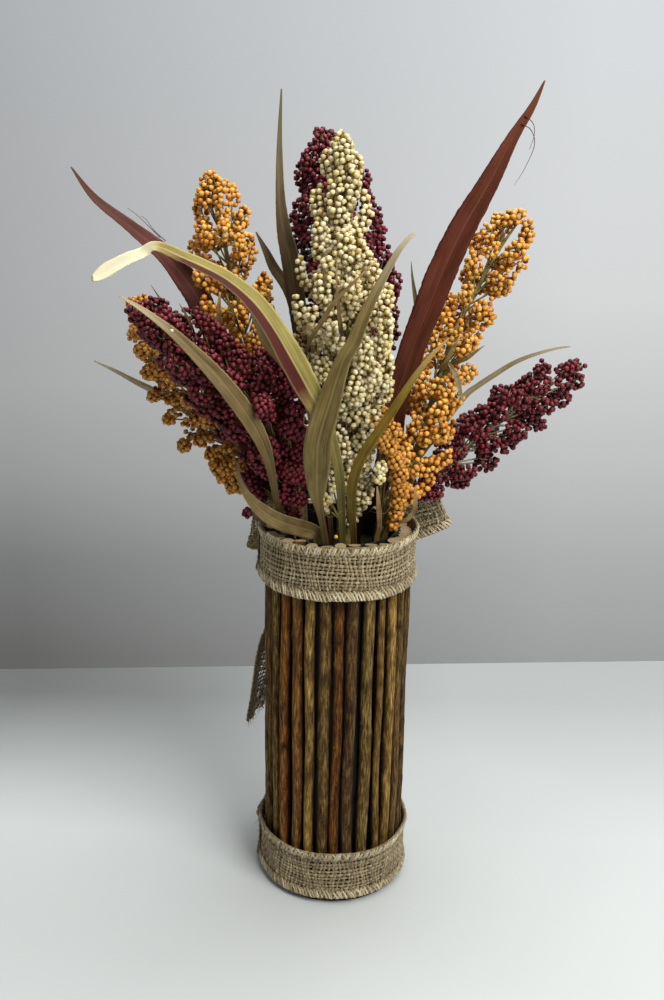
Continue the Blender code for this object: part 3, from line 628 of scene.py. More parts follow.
def strip_surface(points, across, across_end, pleats=0.0, ripple=0.0):
    """Return the surface of a strip of ribbon along a run, and its length.

    The way its width lies turns from across to across_end, and it is pleated where it is narrow."""
    run, length = smooth_run(points, 120)
    ways = unit(np.gradient(run[:, :3], axis=0))
    places = np.linspace(0, 1, len(run))
    side = np.array(across) * (1 - places[:, None]) + np.array(across_end) * places[:, None]
    side = unit(side - ways * np.sum(side * ways, axis=-1, keepdims=True))
    face = np.cross(side, ways)

    def surface(u, v):
        u, v = np.broadcast_arrays(u, v)
        at = [np.interp(np.clip(u, 0, 1), places, column) for column in np.hstack([run, side, face, ways]).T]
        position, width = np.stack(at[:3], axis=-1), at[3]
        sideways, facing, way = (np.stack(at[start:start + 3], axis=-1) for start in (4, 7, 10))
        beyond = (u - np.clip(u, 0, 1)) * length
        gather = np.clip(1 - width / 0.036, 0, 1)
        fold = pleats * gather * np.sin(3.5 * 2 * math.pi * v) + ripple * np.sin(2 * math.pi * (1.3 * v + 2.2 * u))
        return (
            position + way * beyond[..., None] + sideways * (width * (v - 0.5))[..., None] + facing * fold[..., None]
        )
    return surface, length


BOW_LOOPS = {
    "bow_loop_left": ((0.22, 0, 1), [
        (-8.6, 61.2, 264, 13), (-24, 60.5, 263, 26), (-44, 59.5, 262, 35), (-59, 59, 261, 36), (-67, 61.5, 260, 36),
        (-68, 66.5, 260, 36), (-61, 71, 261, 36), (-44, 73, 262, 35), (-26, 71, 263, 27), (-8.6, 67.6, 264, 13),
    ]),
    "bow_loop_right": ((-0.4, 0, 1), [
        (8.6, 61.2, 264, 13), (25, 60.5, 264, 26), (46, 59.5, 268, 36), (66, 58, 275, 37), (78, 60, 280, 37),
        (80, 65.5, 281, 37), (71, 71, 277, 37), (48, 73.5, 269, 36), (27, 71, 264, 27), (8.6, 67.6, 264, 13),
    ]),
}
BOW_TAILS = {
    "bow_tail_left": ((-0.35, 0.94, 0), (-0.97, 0.25, 0), [
        (-4.7, 62.5, 252, 8), (-12, 64, 236, 17), (-24, 65, 215, 32), (-37, 64, 190, 38), (-48, 62, 165, 38),
        (-56, 59, 140, 38), (-62, 56.5, 118, 38), (-65.5, 55, 100, 38),
    ]),
    "bow_tail_right": ((0.25, 0.96, 0), (0.45, 0.89, 0), [
        (4.7, 62.5, 252, 8), (9, 64.5, 236, 15), (15, 66.5, 215, 28), (21, 66, 190, 37), (25, 64.5, 165, 38),
        (27, 64, 140, 38), (28, 64, 120, 38),
    ]),
}
for seed, (node, (across, points)) in enumerate(BOW_LOOPS.items(), start=41):
    surface, length = strip_surface(points, across, across, pleats=0.0011)
    weave(node, surface, length, seed, frayed=())
for seed, (node, (top_face, end_face, points)) in enumerate(BOW_TAILS.items(), start=51):
    across, across_end = np.cross(top_face, (0, 0, -1.0)), np.cross(end_face, (0, 0, -1.0))
    surface, length = strip_surface(points, across, across_end, pleats=0.0008, ripple=0.0010)
    weave(node, surface, length, seed, frayed=(1,))

KNOT_MIDDLE = np.array([0.0, 0.0646, 0.264])


def knot_surface(u, v):
    """Return the surface of the ribbon that wraps the middle of the bow, gathered to half its width."""
    u, v = np.broadcast_arrays(u, v)
    turn = 2 * math.pi * u
    pleat = 0.0006 * np.sin(4 * 2 * math.pi * v + 0.7 * np.sin(turn))
    crown = 1 - 0.10 * (2 * v - 1) ** 2
    y = (0.0052 + pleat) * crown * np.sign(np.cos(turn)) * np.abs(np.cos(turn)) ** 0.75
    z = (0.0122 + pleat) * crown * np.sign(np.sin(turn)) * np.abs(np.sin(turn)) ** 0.75
    return KNOT_MIDDLE + np.stack([(0.5 - v) * 0.0172, y, z], axis=-1)


KNOT_LENGTH = 0.060
weave("bow_knot", knot_surface, KNOT_LENGTH, 61, frayed=(), rows=11)



# Seed heads: seven dried heads of sorghum, one cream, three burgundy and three orange. A straw stem runs up each,
# thin branches leave it all round, and every branch ends in a bunch of round seeds 3.5 to 4.5 mm across.
def seed_finish(slot, name, base, body, tip, odd):
    """Return the slot and the skin of dry seeds, with painted shade on the side towards the branch and a painted
    highlight at the outer tip.
    """
    material, tree, shader = new_finish(name, 0.46, 0.32)
    tint, rise, _ = lay_parts(tree)
    mottle = noise(tree, own_place(tree), 700.0, 2.0)
    # Painted shade on each seed's side towards the branch, and a painted highlight at its outer tip.
    colour = ramp(tree, rise, (0.22, base), (0.55, body), (0.92, tip))
    colour = mixed(tree, ramp(tree, tint, (0.55, 0.0), (0.95, 0.75)), colour, odd)
    colour = shaded(tree, 1.0, colour, tint, (0.0, (205, 200, 195)), (0.4, 1.0))
    colour = shaded(tree, 0.8, colour, mottle, (0.38, (214, 208, 200)), (0.6, 1.0))
    put_on(tree, shader, colour, dented(tree, mottle, 0.25, 0.0003))
    return slot, material


def straw_finish(name, deep, light):
    """Return the skin of a straw stem, streaked along its length."""
    material, tree, shader = new_finish(name, 0.6, 0.3)
    put_on(tree, shader, ramp(tree, noise(tree, own_place(tree), 260.0, 4.0), (0.3, deep), (0.7, light)))
    return material


# Each seed finish gives its painted shade towards the branch, its body colour, its painted highlight at the tip and
# the colour of odd seeds.
cream, burgundy, orange, shaded_orange = (seed_finish(*facts) for facts in (
    ("cream_seed", "cream_seeds", (146, 116, 52), (230, 213, 150), (253, 247, 210), (222, 200, 130)),
    ("burgundy_seed", "burgundy_seeds", (34, 4, 8), (98, 22, 32), (140, 48, 58), (66, 10, 18)),
    ("orange_seed", "orange_seeds", (160, 88, 12), (233, 163, 52), (250, 199, 100), (214, 130, 34)),
    # A darker copy of the orange seeds: painted shade for the heads and bunches that lie in shade.
    ("orange_seed", "shaded_orange_seeds", (122, 66, 10), (203, 136, 44), (230, 174, 84), (176, 104, 28)),
))
olive_straw = straw_finish("olive_straw", (88, 78, 38), (150, 134, 76))
pale_straw = straw_finish("pale_straw", (150, 134, 96), (204, 190, 150))
SEED_SIZE = 2.12 * MM
SEED_SPACING = 3.15 * MM
SEED_ROOM = 3.35 * MM
SEED_CELL = 4 * MM
DENSE_LEAN = 0.35
INNER_LAYER = 0.64
BRANCH_FACING = (0.31, 0.22, 0.92)
STEM_DEPTH = 0.0115
# How wide a bunch is along itself, and how thick a stem is, in millimetres.
BUNCH_PROFILE = ([0, 0.15, 0.45, 0.8, 1.0], [0.45, 0.85, 1.0, 0.75, 0.25])
STEM_PROFILE = ([0, 0.3, 0.8, 1], [2.7, 2.3, 1.6, 0.7])
GOLDEN_TURN = math.pi * (3 - math.sqrt(5))
gold = (1 + math.sqrt(5)) / 2
SEED_POINTS = unit(np.array([
    (-1, gold, 0), (1, gold, 0), (-1, -gold, 0), (1, -gold, 0), (0, -1, gold), (0, 1, gold),
    (0, -1, -gold), (0, 1, -gold), (gold, 0, -1), (gold, 0, 1), (-gold, 0, -1), (-gold, 0, 1),
], float))
SEED_FACES = np.array([
    (0, 11, 5), (0, 5, 1), (0, 1, 7), (0, 7, 10), (0, 10, 11), (1, 5, 9), (5, 11, 4), (11, 10, 2), (10, 7, 6),
    (7, 1, 8), (3, 9, 4), (3, 4, 2), (3, 2, 6), (3, 6, 8), (3, 8, 9), (4, 9, 5), (2, 4, 11), (6, 2, 10),
    (8, 6, 7), (9, 8, 1),
])


def seed_batch(places, sizes, outward, tints, finish):
    """Return a batch of seeds, each a small ball whose side towards the branch takes painted shade and whose outer
    tip takes a painted highlight.
    """
    count = len(places)
    points = places[:, None] + SEED_POINTS * sizes[:, None, None]
    # rise runs from 0 on the side towards the branch, which takes painted shade, to 1 at the outer tip, which takes a
    # painted highlight.
    rise = 0.5 + 0.5 * outward @ SEED_POINTS.T
    lay = np.stack([np.repeat(tints, len(SEED_POINTS)), rise.ravel(), np.zeros(rise.size)], axis=-1)
    faces = SEED_FACES[None] + (np.arange(count) * len(SEED_POINTS))[:, None, None]
    return points.reshape(-1, 3), [(faces.reshape(-1, 3), finish)], lay


SPINE_STEPS, SPINE_TURNS, AXIS_STEPS = 90, 24, 9


def measure_head(node, points):
    """Return a head's spine, two ways across it, how far it reaches round it, its nominal radii and its length."""
    run, length = smooth_run(points, SPINE_STEPS)
    spine = run[:, :3]
    ways = unit(np.gradient(spine, axis=0))
    side = unit(np.cross(ways, (0.0, 1.0, 0.0)))
    out = np.cross(ways, side)
    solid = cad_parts[node].data
    tree = BVHTree.FromPolygons([v.co for v in solid.vertices], [p.vertices for p in solid.polygons])
    turns = np.linspace(0, 2 * math.pi, SPINE_TURNS, endpoint=False)
    reach = np.zeros((SPINE_STEPS, SPINE_TURNS))
    for index in range(SPINE_STEPS):
        for turn_index, turn in enumerate(turns):
            way = side[index] * math.cos(turn) + out[index] * math.sin(turn)
            hit = tree.ray_cast(spine[index].tolist(), way.tolist(), 0.09)
            reach[index, turn_index] = hit[3] if hit[0] is not None else run[index, 3]
    return SimpleNamespace(spine=spine, side=side, out=out, reach=reach, nominal=run[:, 3], length=length)


def reach_at(reach, place, turn):
    """Return how far a head reaches at places along its stem (0 to 1) and turns round it."""
    row = np.clip(place, 0, 1) * (len(reach) - 1)
    column = (turn / (2 * math.pi) % 1.0) * SPINE_TURNS
    r0, c0 = np.floor(row).astype(int), np.floor(column).astype(int)
    r1, c1 = np.minimum(r0 + 1, len(reach) - 1), (c0 + 1) % SPINE_TURNS
    c0 = c0 % SPINE_TURNS
    fr, fc = row - r0, column - np.floor(column)
    near = reach[r0, c0] * (1 - fc) + reach[r0, c1] * fc
    far = reach[r1, c0] * (1 - fc) + reach[r1, c1] * fc
    return near * (1 - fr) + far * fr


def along(values, place):
    """Return rows of values at places from 0 to 1."""
    places = np.linspace(0, 1, len(values))
    return np.stack([np.interp(place, places, column) for column in values.T], axis=-1)


def spread_bunches(chance, reach, length, start, bunch, spacing, parting):
    """Return places along the stem and turns round it, no two nearer than spacing times a bunch's size.

    parting is a half angle at the head's front and back that stays bare, and where along the stem it starts."""
    bunch_radius, bunch_length = bunch
    bare_angle, bare_from = parting
    girth = reach.mean(axis=1)
    area = np.cumsum(np.where(np.linspace(0, 1, SPINE_STEPS) < start, 0, girth))
    placed = []
    for _ in range(5000):
        place = np.interp(chance.random() * area[-1], area, np.linspace(0, 1, SPINE_STEPS))
        turn = chance.uniform(0, 2 * math.pi)
        if place > bare_from and abs(math.cos(turn)) < math.sin(bare_angle):
            continue
        local = float(reach_at(reach, np.array(place), np.array(turn)))
        for other_place, other_turn, other_local in placed:
            apart = (other_turn - turn + math.pi) % (2 * math.pi) - math.pi
            across = apart * (local + other_local) / 2 / (2 * min(bunch_radius, 0.6 * local))
            if (across ** 2 + ((other_place - place) * length / bunch_length) ** 2) < spacing ** 2:
                break
        else:
            placed.append((place, turn, local))
    return placed


def crowded(taken, cell, place):
    """Tell whether a seed already grows too near a place, from the seeds taken in the cells about it."""
    for across, deep, up in itertools.product((-1, 0, 1), repeat=3):
        for other in taken.get((cell[0] + across, cell[1] + deep, cell[2] + up), ()):
            if (place - other) @ (place - other) < SEED_SPACING ** 2:
                return True
    return False


def bunch_axis(chance, head, bunch, lean, middle, turn, local, layer):
    """Return a bunch's middle line, the ways out along it, its ring's radius, and where it leaves the stem."""
    bunch_radius, bunch_length = bunch
    long = bunch_length * chance.uniform(0.80, 1.30)
    half = min(bunch_radius * chance.uniform(0.85, 1.15), 0.6 * local)
    travel = long * (1 - 0.65 * lean) / head.length
    first = middle - travel / 2
    rise = np.linspace(0, 1, AXIS_STEPS)
    places = np.clip(first + travel * rise, 0.02, 0.995)
    turns = turn + chance.uniform(-0.25, 0.25) * rise
    limit = reach_at(head.reach, places, turns) * layer
    ring_width = 0.68 * half
    sink_start = (1 - lean) * (half + 3.5 * MM) + lean * np.maximum(0.6 * limit, half)
    deeper = max(chance.uniform(-0.40, 0.85), 0.0) * half
    sink = sink_start + (ring_width - sink_start) * np.sin(rise * math.pi / 2) ** (0.8 if lean < 0.5 else 1.2)
    depth = np.maximum(limit - sink - deeper, 0.0005)
    radial = along(head.side, places) * np.cos(turns)[:, None] + along(head.out, places) * np.sin(turns)[:, None]
    return along(head.spine, places) + radial * depth[:, None], radial, ring_width, first


def bunch_seeds(chance, axis, ring_width):
    """Return the places of a bunch's seeds, the ways they face, the bunch's ways, and how far along it they are."""
    rise = np.linspace(0, 1, len(axis))
    axis_length = np.linalg.norm(np.diff(axis, axis=0), axis=1).sum()
    profile = np.interp(rise, *BUNCH_PROFILE)
    count = int(2 * math.pi * ring_width * 0.78 * axis_length / SEED_ROOM ** 2 * 1.25) + 3
    spread = np.cumsum(profile) / profile.sum()
    spread[0] = 0
    along_it = np.interp((np.arange(count) + 0.5) / count, spread, rise)
    ring = ring_width * np.interp(along_it, rise, profile) * (1 + 0.10 * chance.standard_normal(count))
    way = unit(along(unit(np.gradient(axis, axis=0)), along_it))
    first_side = unit(np.cross(way, (0.37, 0.41, 0.83)))
    second_side = np.cross(way, first_side)
    spin = np.arange(count) * GOLDEN_TURN + chance.random() * 6
    outward = first_side * np.cos(spin)[:, None] + second_side * np.sin(spin)[:, None]
    grown = along(axis, along_it) + outward * ring[:, None] + 0.35 * MM * chance.standard_normal((count, 3))
    return grown, outward, way, along_it


def drawn_in(head, grown, sizes):
    """Return seeds pulled in to where the head ends, or a little past it where it is at its widest."""
    nearest = np.argmin(((grown[:, None] - head.spine[None]) ** 2).sum(-1), axis=1)
    offset = grown - head.spine[nearest]
    across = np.stack([np.sum(offset * head.side[nearest], -1), np.sum(offset * head.out[nearest], -1)], axis=-1)
    away = np.linalg.norm(across, axis=1)
    allowed = reach_at(head.reach, nearest / (SPINE_STEPS - 1), np.arctan2(across[:, 1], across[:, 0]))
    allowed = allowed - sizes * 0.8 + np.where(allowed > 0.86 * head.nominal[nearest], 2.0 * MM, 0.0)
    pull = np.minimum(1.0, np.maximum(allowed, 0.001) / np.maximum(away, 1e-6))
    return grown - offset * (1 - pull)[:, None]


def seed_head(node, points, seed, finish, straw, start, bunch, spacing, lean, parting):
    """Grow one head inside its solid.

    start is where along the stem the seeds begin. bunch is a bunch's half width and length, spacing is how far
    apart bunches stand in their own sizes, and lean is how far each stands out from the stem, 0 to 1. A dense
    head has a second layer of bunches under the first."""
    chance = np.random.default_rng(seed)
    head = measure_head(node, points)
    taken, kept, branches, bunches = {}, [], [], []
    for layer in (1.0, INNER_LAYER) if lean < DENSE_LEAN else (1.0,):
        spread = spread_bunches(chance, head.reach * layer, head.length, start, bunch, spacing, parting)
        bunches += [(*place, layer) for place in spread]
    for place_and_layer in bunches:
        axis, radial, ring_width, first = bunch_axis(chance, head, bunch, lean, *place_and_layer)
        grown, outward, way, along_it = bunch_seeds(chance, axis, ring_width)
        sizes = SEED_SIZE * chance.uniform(0.88, 1.12, len(grown))
        facing_out = np.sum(outward * along(radial, along_it), axis=-1)
        for which, place in enumerate(drawn_in(head, grown, sizes)):
            cell = tuple((place // SEED_CELL).astype(int))
            if facing_out[which] < -0.45 - 0.5 * lean or crowded(taken, cell, place):
                continue
            taken.setdefault(cell, []).append(place)
            kept.append((place, sizes[which], unit(outward[which] + 0.5 * way[which]), chance.random()))
        root_place = np.clip(first - chance.uniform(0.04, 0.11), max(start - 0.06, 0.05), 0.97)
        root = along(head.spine, np.array([root_place]))[0]
        far = np.linspace(0, 1, 5)[:, None]
        arch = unit(radial[0]) * 0.12 * np.linalg.norm(axis[0] - root) * (far - far ** 2)
        branches.append(np.vstack([root + (axis[0] - root) * far + arch, axis[[3, 6]]]))
    batches = [seed_batch(*(np.array(column) for column in zip(*kept)), 0)]
    branches = np.array(branches)
    size = np.linspace(0.85, 0.35, branches.shape[1])[None] * MM
    facing = np.broadcast_to(BRANCH_FACING, branches.shape)
    batches.append(tube_batch(branches, size, size, facing, 4, 1, chance.random(len(branches))))
    stem = np.vstack([head.spine[:1] - np.array([[0, 0, STEM_DEPTH]]), head.spine[:-1]])[None]
    size = np.interp(np.linspace(0, 1, stem.shape[1]), *STEM_PROFILE)[None] * MM
    batches.append(tube_batch(stem, size, size, np.broadcast_to((0.1, 0.97, 0.2), stem.shape), 10, 1, [0.5]))
    make_piece(f"seeds_{node}", batches, [finish, straw], node)


SEED_HEADS = {
    "cream_head": (cream, olive_straw, 0.13, (7.4, 25), 1.02, 0.15, (0.0, 0.0), [
        (6, -12, 262, 2.8), (6.5, -13, 276, 2.8), (9, -15, 288, 4.5), (11.5, -17.5, 303, 14), (12, -19.5, 325, 20),
        (12, -22, 352, 25), (9, -23.5, 380, 30), (5, -24, 410, 35), (0, -24, 440, 39), (-2, -22.5, 462, 34),
        (-3, -20.5, 487, 25), (-3, -17, 512, 21), (-3, -14, 536, 16), (-2.5, -12, 551, 4),
    ]),
    "burgundy_head_left": (burgundy, olive_straw, 0.11, (7.4, 20), 1.0, 0.30, (0.0, 0.0), [
        (-20, -16, 262, 2.8), (-28, -18, 283, 2.8), (-33, -20, 303, 14), (-39, -22, 328, 24), (-46, -25, 352, 31),
        (-61, -28, 379, 36), (-80, -30, 397, 35), (-99, -30, 412, 31), (-119, -28, 425, 24), (-131, -27, 433, 16),
        (-140, -26, 438, 6),
    ]),
    "burgundy_head_back": (burgundy, olive_straw, 0.19, (6.6, 26), 0.98, 0.25, (0.0, 0.0), [
        (1, 27, 262, 2.8), (1.5, 29, 282, 2.8), (3, 34, 306, 5), (4.5, 39, 332, 14), (6, 43, 360, 25),
        (7, 47, 392, 35), (5, 50, 437, 42), (-2, 53, 472, 41), (-8, 54, 507, 35), (-13, 54, 533, 26),
        (-16, 54, 548, 15), (-17, 54, 555, 5),
    ]),
    "burgundy_head_right": (burgundy, pale_straw, 0.10, (7.4, 18), 0.92, 0.55, (0.26, 0.38), [
        (30, 11, 262, 2.8), (35, 12.5, 280, 2.8), (44, 15, 293, 6), (62, 19, 307, 21), (78, 23, 320, 27),
        (96, 26, 337.5, 29), (119, 29, 356, 28), (141, 30, 373.5, 26), (158, 30, 386, 20.5), (168.5, 30, 393, 13),
        (174, 30, 397, 5),
    ]),
    "orange_head_left": (orange, olive_straw, 0.27, (6.6, 22), 0.94, 0.37, (0.10, 0.35), [
        (-26, 16, 262, 2.8), (-29, 16.5, 282, 2.8), (-38, 18, 312, 3), (-46, 19, 340, 7), (-54, 18, 365, 19),
        (-63, 17, 392, 28), (-73, 17, 435, 31), (-82, 19, 477, 28), (-89, 21, 507, 20), (-92, 22, 525, 6),
    ]),
    "orange_head_far_left": (shaded_orange, pale_straw, 0.22, (5.6, 13), 1.12, 0.6, (0.0, 0.0), [
        (-29, 4, 262, 2.8), (-34, 5, 280, 2.8), (-43, 8, 293.5, 3), (-57, 12, 309, 7), (-72, 16, 328, 18),
        (-88, 20, 347, 26), (-109, 24, 378, 29), (-130, 26, 409, 25), (-143, 27.5, 426, 16), (-150, 28, 436, 5),
    ]),
    "orange_head_right": (orange, olive_straw, 0.11, (6.6, 20), 0.96, 0.45, (0.36, 0.5), [
        (28, -4, 262, 2.8), (32, -6, 276, 2.8), (39, -9, 292, 8), (45, -9, 306, 18), (51, -4, 327, 26),
        (59, 4, 353, 31), (68, 10, 385, 29), (79, 17, 420, 24), (92, 22, 447, 23), (106, 27, 473, 25),
        (117, 30, 490, 22), (125, 32, 501, 8),
    ]),
}
for seed, (node, facts) in enumerate(SEED_HEADS.items(), start=71):
    (slot, finish), straw, start, (half, long), spacing, lean, parting, points = facts
    seed_head(node, points, seed, finish, straw, start, (half * MM, long * MM), spacing, lean, parting)


# Side bunches: small round bunches of seeds on thin branches that stand away from the heads, mostly low down,
# where the heads are opened out by the leaves pushed in between them.
SIDE_BUNCHES = {
    "side_bunches_burgundy_left": (burgundy, (-27, -20, 292), [
        (-43, -34, 412, 6.5), (-49, -32, 406, 6.5), (-36, -36, 400, 6.5), (-40, -34, 388, 6.5), (-32, -38, 388, 6),
        (-24, -40, 382, 4), (-30, -38, 374, 6.5), (-35, -36, 363, 6.5), (-28, -36, 359, 6), (-27, -34, 344, 6.5),
        (-32, -34, 332, 6.5), (-28, -32, 326, 5.5), (-38, -26, 310, 5), (-29, -26, 308, 5), (-65, -10, 293, 3.5),
    ]),
    "side_bunch_over_burgundy_left": (burgundy, (-62, -30, 378), [(-51, -57, 381, 6.5)]),
    "side_bunches_orange_right": (shaded_orange, (30, -12, 284), [
        (24, -38, 366, 5.5), (30, -36, 370, 5.5), (35, -34, 360, 6), (27, -38, 356, 6), (33, -36, 350, 6.5),
        (38, -33, 340, 6.5), (41, -30, 329, 6.5), (42, -27, 318, 6), (41, -25, 308, 5.5), (40, -24, 298, 4.8),
        (39, -24, 290, 3.8),
    ]),
    "side_bunches_cream": (cream, (2, -16, 288), [
        (-12, -27, 316, 4.5), (-10, -28, 309, 5), (-10, -28, 302, 3.5), (28, -40, 336, 4.5), (27, -40, 329, 4),
        (-3, -27, 338, 5.5), (-2, -27, 328, 5), (-5, -27, 318, 4.5),
    ]),
    "side_bunches_orange_low_left": (shaded_orange, (-43, 8, 294), [
        (-92, 12, 329, 5.5), (-89, 10, 321, 5.5), (-84, 8, 314, 5.5), (-78, 6, 307, 5), (-81, 4, 322, 5.5),
        (-74, 2, 315, 5.5), (-71, -2, 309, 5), (-72, -4, 326, 5.5),
    ]),
    "side_bunches_burgundy_low_left": (burgundy, (-30, -17, 292), [
        (-64, -12, 319, 5.5), (-59, -12, 312, 5.5), (-55, -12, 305, 4.5),
    ]),
    "side_bunches_orange_far_left": (shaded_orange, (-88, 18, 347), [
        (-142, 6, 418, 6), (-139, 8, 405, 6), (-135, 10, 389, 6), (-134, 14, 371, 4.5), (-124, 16, 354, 4.5),
        (-113, 16, 335, 5), (-145, 10, 436, 5), (-138, 10, 438, 5),
    ]),
}
for seed, (name, ((slot, finish), root, balls)) in enumerate(SIDE_BUNCHES.items(), start=81):
    chance = np.random.default_rng(seed)
    places, outward, branches = [], [], []
    for x, y, z, radius in balls:
        count = int(4 * math.pi * (radius - 1) ** 2 * 0.078) + 4
        rise = 1 - 2 * (np.arange(count) + 0.5) / count
        spin = np.arange(count) * GOLDEN_TURN + 6 * chance.random()
        flat = np.sqrt(1 - rise ** 2)
        way = np.stack([flat * np.cos(spin), flat * np.sin(spin), rise], axis=-1)
        middle = np.array((x, y, z))
        places.append((middle + way * (radius - 1) * (1 + 0.12 * chance.standard_normal((count, 1)))) * MM)
        outward.append(way)
        far = np.linspace(0, 1, 8)[:, None]
        branches.append((np.array(root) + (middle - root) * far + (0, 0, 9) * (far - far ** 2)) * MM)
    places, branches = np.vstack(places), np.array(branches)
    sizes = SEED_SIZE * chance.uniform(0.88, 1.1, len(places))
    seeds = seed_batch(places, sizes, np.vstack(outward), chance.random(len(places)), 0)
    facing = np.broadcast_to(BRANCH_FACING, branches.shape)
    twiglets = tube_batch(branches, 0.6 * MM, 0.6 * MM, facing, 5, 1, chance.random(len(branches)))
    make_piece(name, [seeds, twiglets], [finish, olive_straw])


# Leaves: long dry blades, folded a little along the midrib and veined lengthwise, red-brown, yellow-green or
# tan. Each stalk is pushed into the foam, and the blade leans out over the rim of the vase.
def leaf_finish(
    slot, name, body, vein, midrib, edge, tip, foot_shade=(150, 136, 112), foot_shade_to=0.4, tip_from=0.80, tip_full=0.97,
    other=None,
):
    """Return the slot and the skin of a dry leaf, with painted shade that darkens it towards its foot, down in the
    mouth of the vase.

    other is a colour for one half of the blade, and where along it that starts and ends."""
    material, tree, shader = new_finish(name, 0.6, 0.2)
    across, lengthwise, aside = lay_parts(tree)
    drawn = step(tree, "ShaderNodeCombineXYZ", {"X": aside, "Y": lengthwise}).outputs[0]
    veins = noise(tree, stretched(tree, drawn, (2.1, 3.0, 1.0)), 1.0, 3.0, Roughness=0.6)
    blotch = noise(tree, stretched(tree, drawn, (0.12, 9.0, 1.0)), 1.5, 5.0)
    colour = ramp(tree, veins, (0.22, vein), (0.52, body), (0.86, midrib))
    if other is not None:
        half_colour, first, last = other
        taper = ranged(tree, lengthwise, first, last, 0.0, 0.22)
        half = ranged(tree, reckoned(tree, "ADD", across, taper), 0.05, -0.05)
        begin = ranged(tree, lengthwise, first, first + 0.06)
        end = ranged(tree, lengthwise, last, last - 0.06)
        there = reckoned(tree, "MULTIPLY", reckoned(tree, "MULTIPLY", half, begin), end)
        colour = mixed(tree, there, colour, half_colour)
    colour = shaded(tree, 0.9, colour, blotch, (0.32, (205, 196, 182)), (0.62, 1.0))
    outer = reckoned(tree, "ABSOLUTE", across)
    colour = mixed(tree, ramp(tree, outer, (0.02, 0.4), (0.10, 0.0)), colour, midrib)
    colour = mixed(tree, ramp(tree, outer, (0.82, 0.0), (0.98, 0.5)), colour, edge)
    # Painted shade: the blade is darkened towards its foot, where it goes down into the mouth of the vase.
    colour = shaded(tree, 1.0, colour, lengthwise, (0.02, foot_shade), (foot_shade_to, 1.0))
    colour = mixed(tree, ramp(tree, lengthwise, (tip_from, 0.0), (tip_full, 0.9)), colour, tip)
    put_on(tree, shader, colour, dented(tree, veins, 0.2, 0.0002))
    return slot, material


LEAF_COLUMNS = 9
STALK_DEPTH = 11


def leaf(name, node, base_face, tip_face, points, skin, seed, rows=180, fold=0.10, thick=0.5):
    """Make one blade along rows of positions and widths, closed all round, with a rippled and toothed edge."""
    slot, finish = skin
    chance = np.random.default_rng(seed)
    run, _ = smooth_run(points, rows)
    place = np.linspace(0, 1, rows)
    ways = unit(np.gradient(run[:, :3], axis=0))
    facing = np.array(base_face) * (1 - place[:, None]) + np.array(tip_face) * place[:, None]
    side = unit(np.cross(ways, facing))
    face = np.cross(side, ways)
    width = run[:, 3] * (1 + 0.02 * np.sin(2 * math.pi * (2.2 * place + chance.random())))
    across = np.linspace(-1, 1, LEAF_COLUMNS)
    ripple = sum(
        np.sin(2 * math.pi * (beat * place[:, None] + chance.random()) + across) for beat in (2.3, 4.7, 8.1)
    ) * 0.012 * width[:, None] * np.abs(across) ** 2
    teeth = 1 + 0.035 * chance.uniform(-1, 0.6, (rows, 2)) * np.minimum(width / (8 * MM), 1)[:, None]
    width = width[:, None] * np.where(np.abs(across) > 0.99, np.where(across < 0, teeth[:, :1], teeth[:, 1:]), 1.0)
    dip = -fold * width * (1 - np.abs(across) ** 1.15) + ripple
    body = np.minimum(thick * MM, 0.45 * width) * (1 - 0.55 * np.abs(across) ** 2) / 2
    flat = run[:, None, :3] + side[:, None] * (across * width / 2)[..., None]
    top = flat + face[:, None] * (dip + body)[..., None]
    back = flat + face[:, None] * (dip - body)[..., None]
    points = np.concatenate([top, back[:, ::-1]], axis=1).reshape(-1, 3)
    over = np.broadcast_to(np.concatenate([across, across[::-1]]), (rows, 2 * LEAF_COLUMNS))
    onward = np.broadcast_to(place[:, None], over.shape)
    aside = over * width.max(axis=1)[:, None] / MM / 2 + 37.0 * seed
    lay = np.stack([over.ravel(), onward.ravel(), aside.ravel()], axis=-1)
    faces = [(group, 0) for group in tube_faces(1, rows, 2 * LEAF_COLUMNS)]
    make_piece(name, [(points, faces, lay)], [finish], node)


RED_RIGHT = leaf_finish(
    "red_leaf", "red_brown_leaf", (108, 55, 39), (74, 30, 20), (138, 84, 62), (78, 30, 22), (118, 68, 50),
    (98, 62, 50), 0.66,
)
RED_LEFT = leaf_finish(
    "red_leaf", "dark_red_leaf", (98, 52, 44), (66, 30, 26), (134, 86, 74), (84, 36, 32), (94, 62, 52),
)
TWO_TONE = leaf_finish(
    "green_leaf", "yellow_green_and_burgundy_leaf", (158, 145, 80), (120, 106, 46), (190, 178, 122),
    (180, 168, 116), (246, 241, 206), (96, 84, 48), 0.42, 0.85, 0.885, ((80, 22, 13), 0.40, 0.86),
)
OLIVE_GREY = leaf_finish(
    "tan_leaf", "olive_grey_leaf", (108, 92, 62), (76, 62, 38), (136, 122, 92), (124, 112, 82), (100, 90, 64),
    (66, 50, 28), 0.85,
)
GREY_GREEN = leaf_finish(
    "tan_leaf", "grey_green_leaf", (136, 124, 92), (98, 86, 56), (170, 160, 130), (160, 152, 124),
    (142, 133, 108), (150, 136, 106),
)
TAN_GREEN = leaf_finish(
    "tan_leaf", "tan_green_leaf", (124, 107, 62), (84, 68, 30), (160, 144, 98), (154, 138, 92), (166, 155, 126),
    (158, 142, 104), 0.5,
)
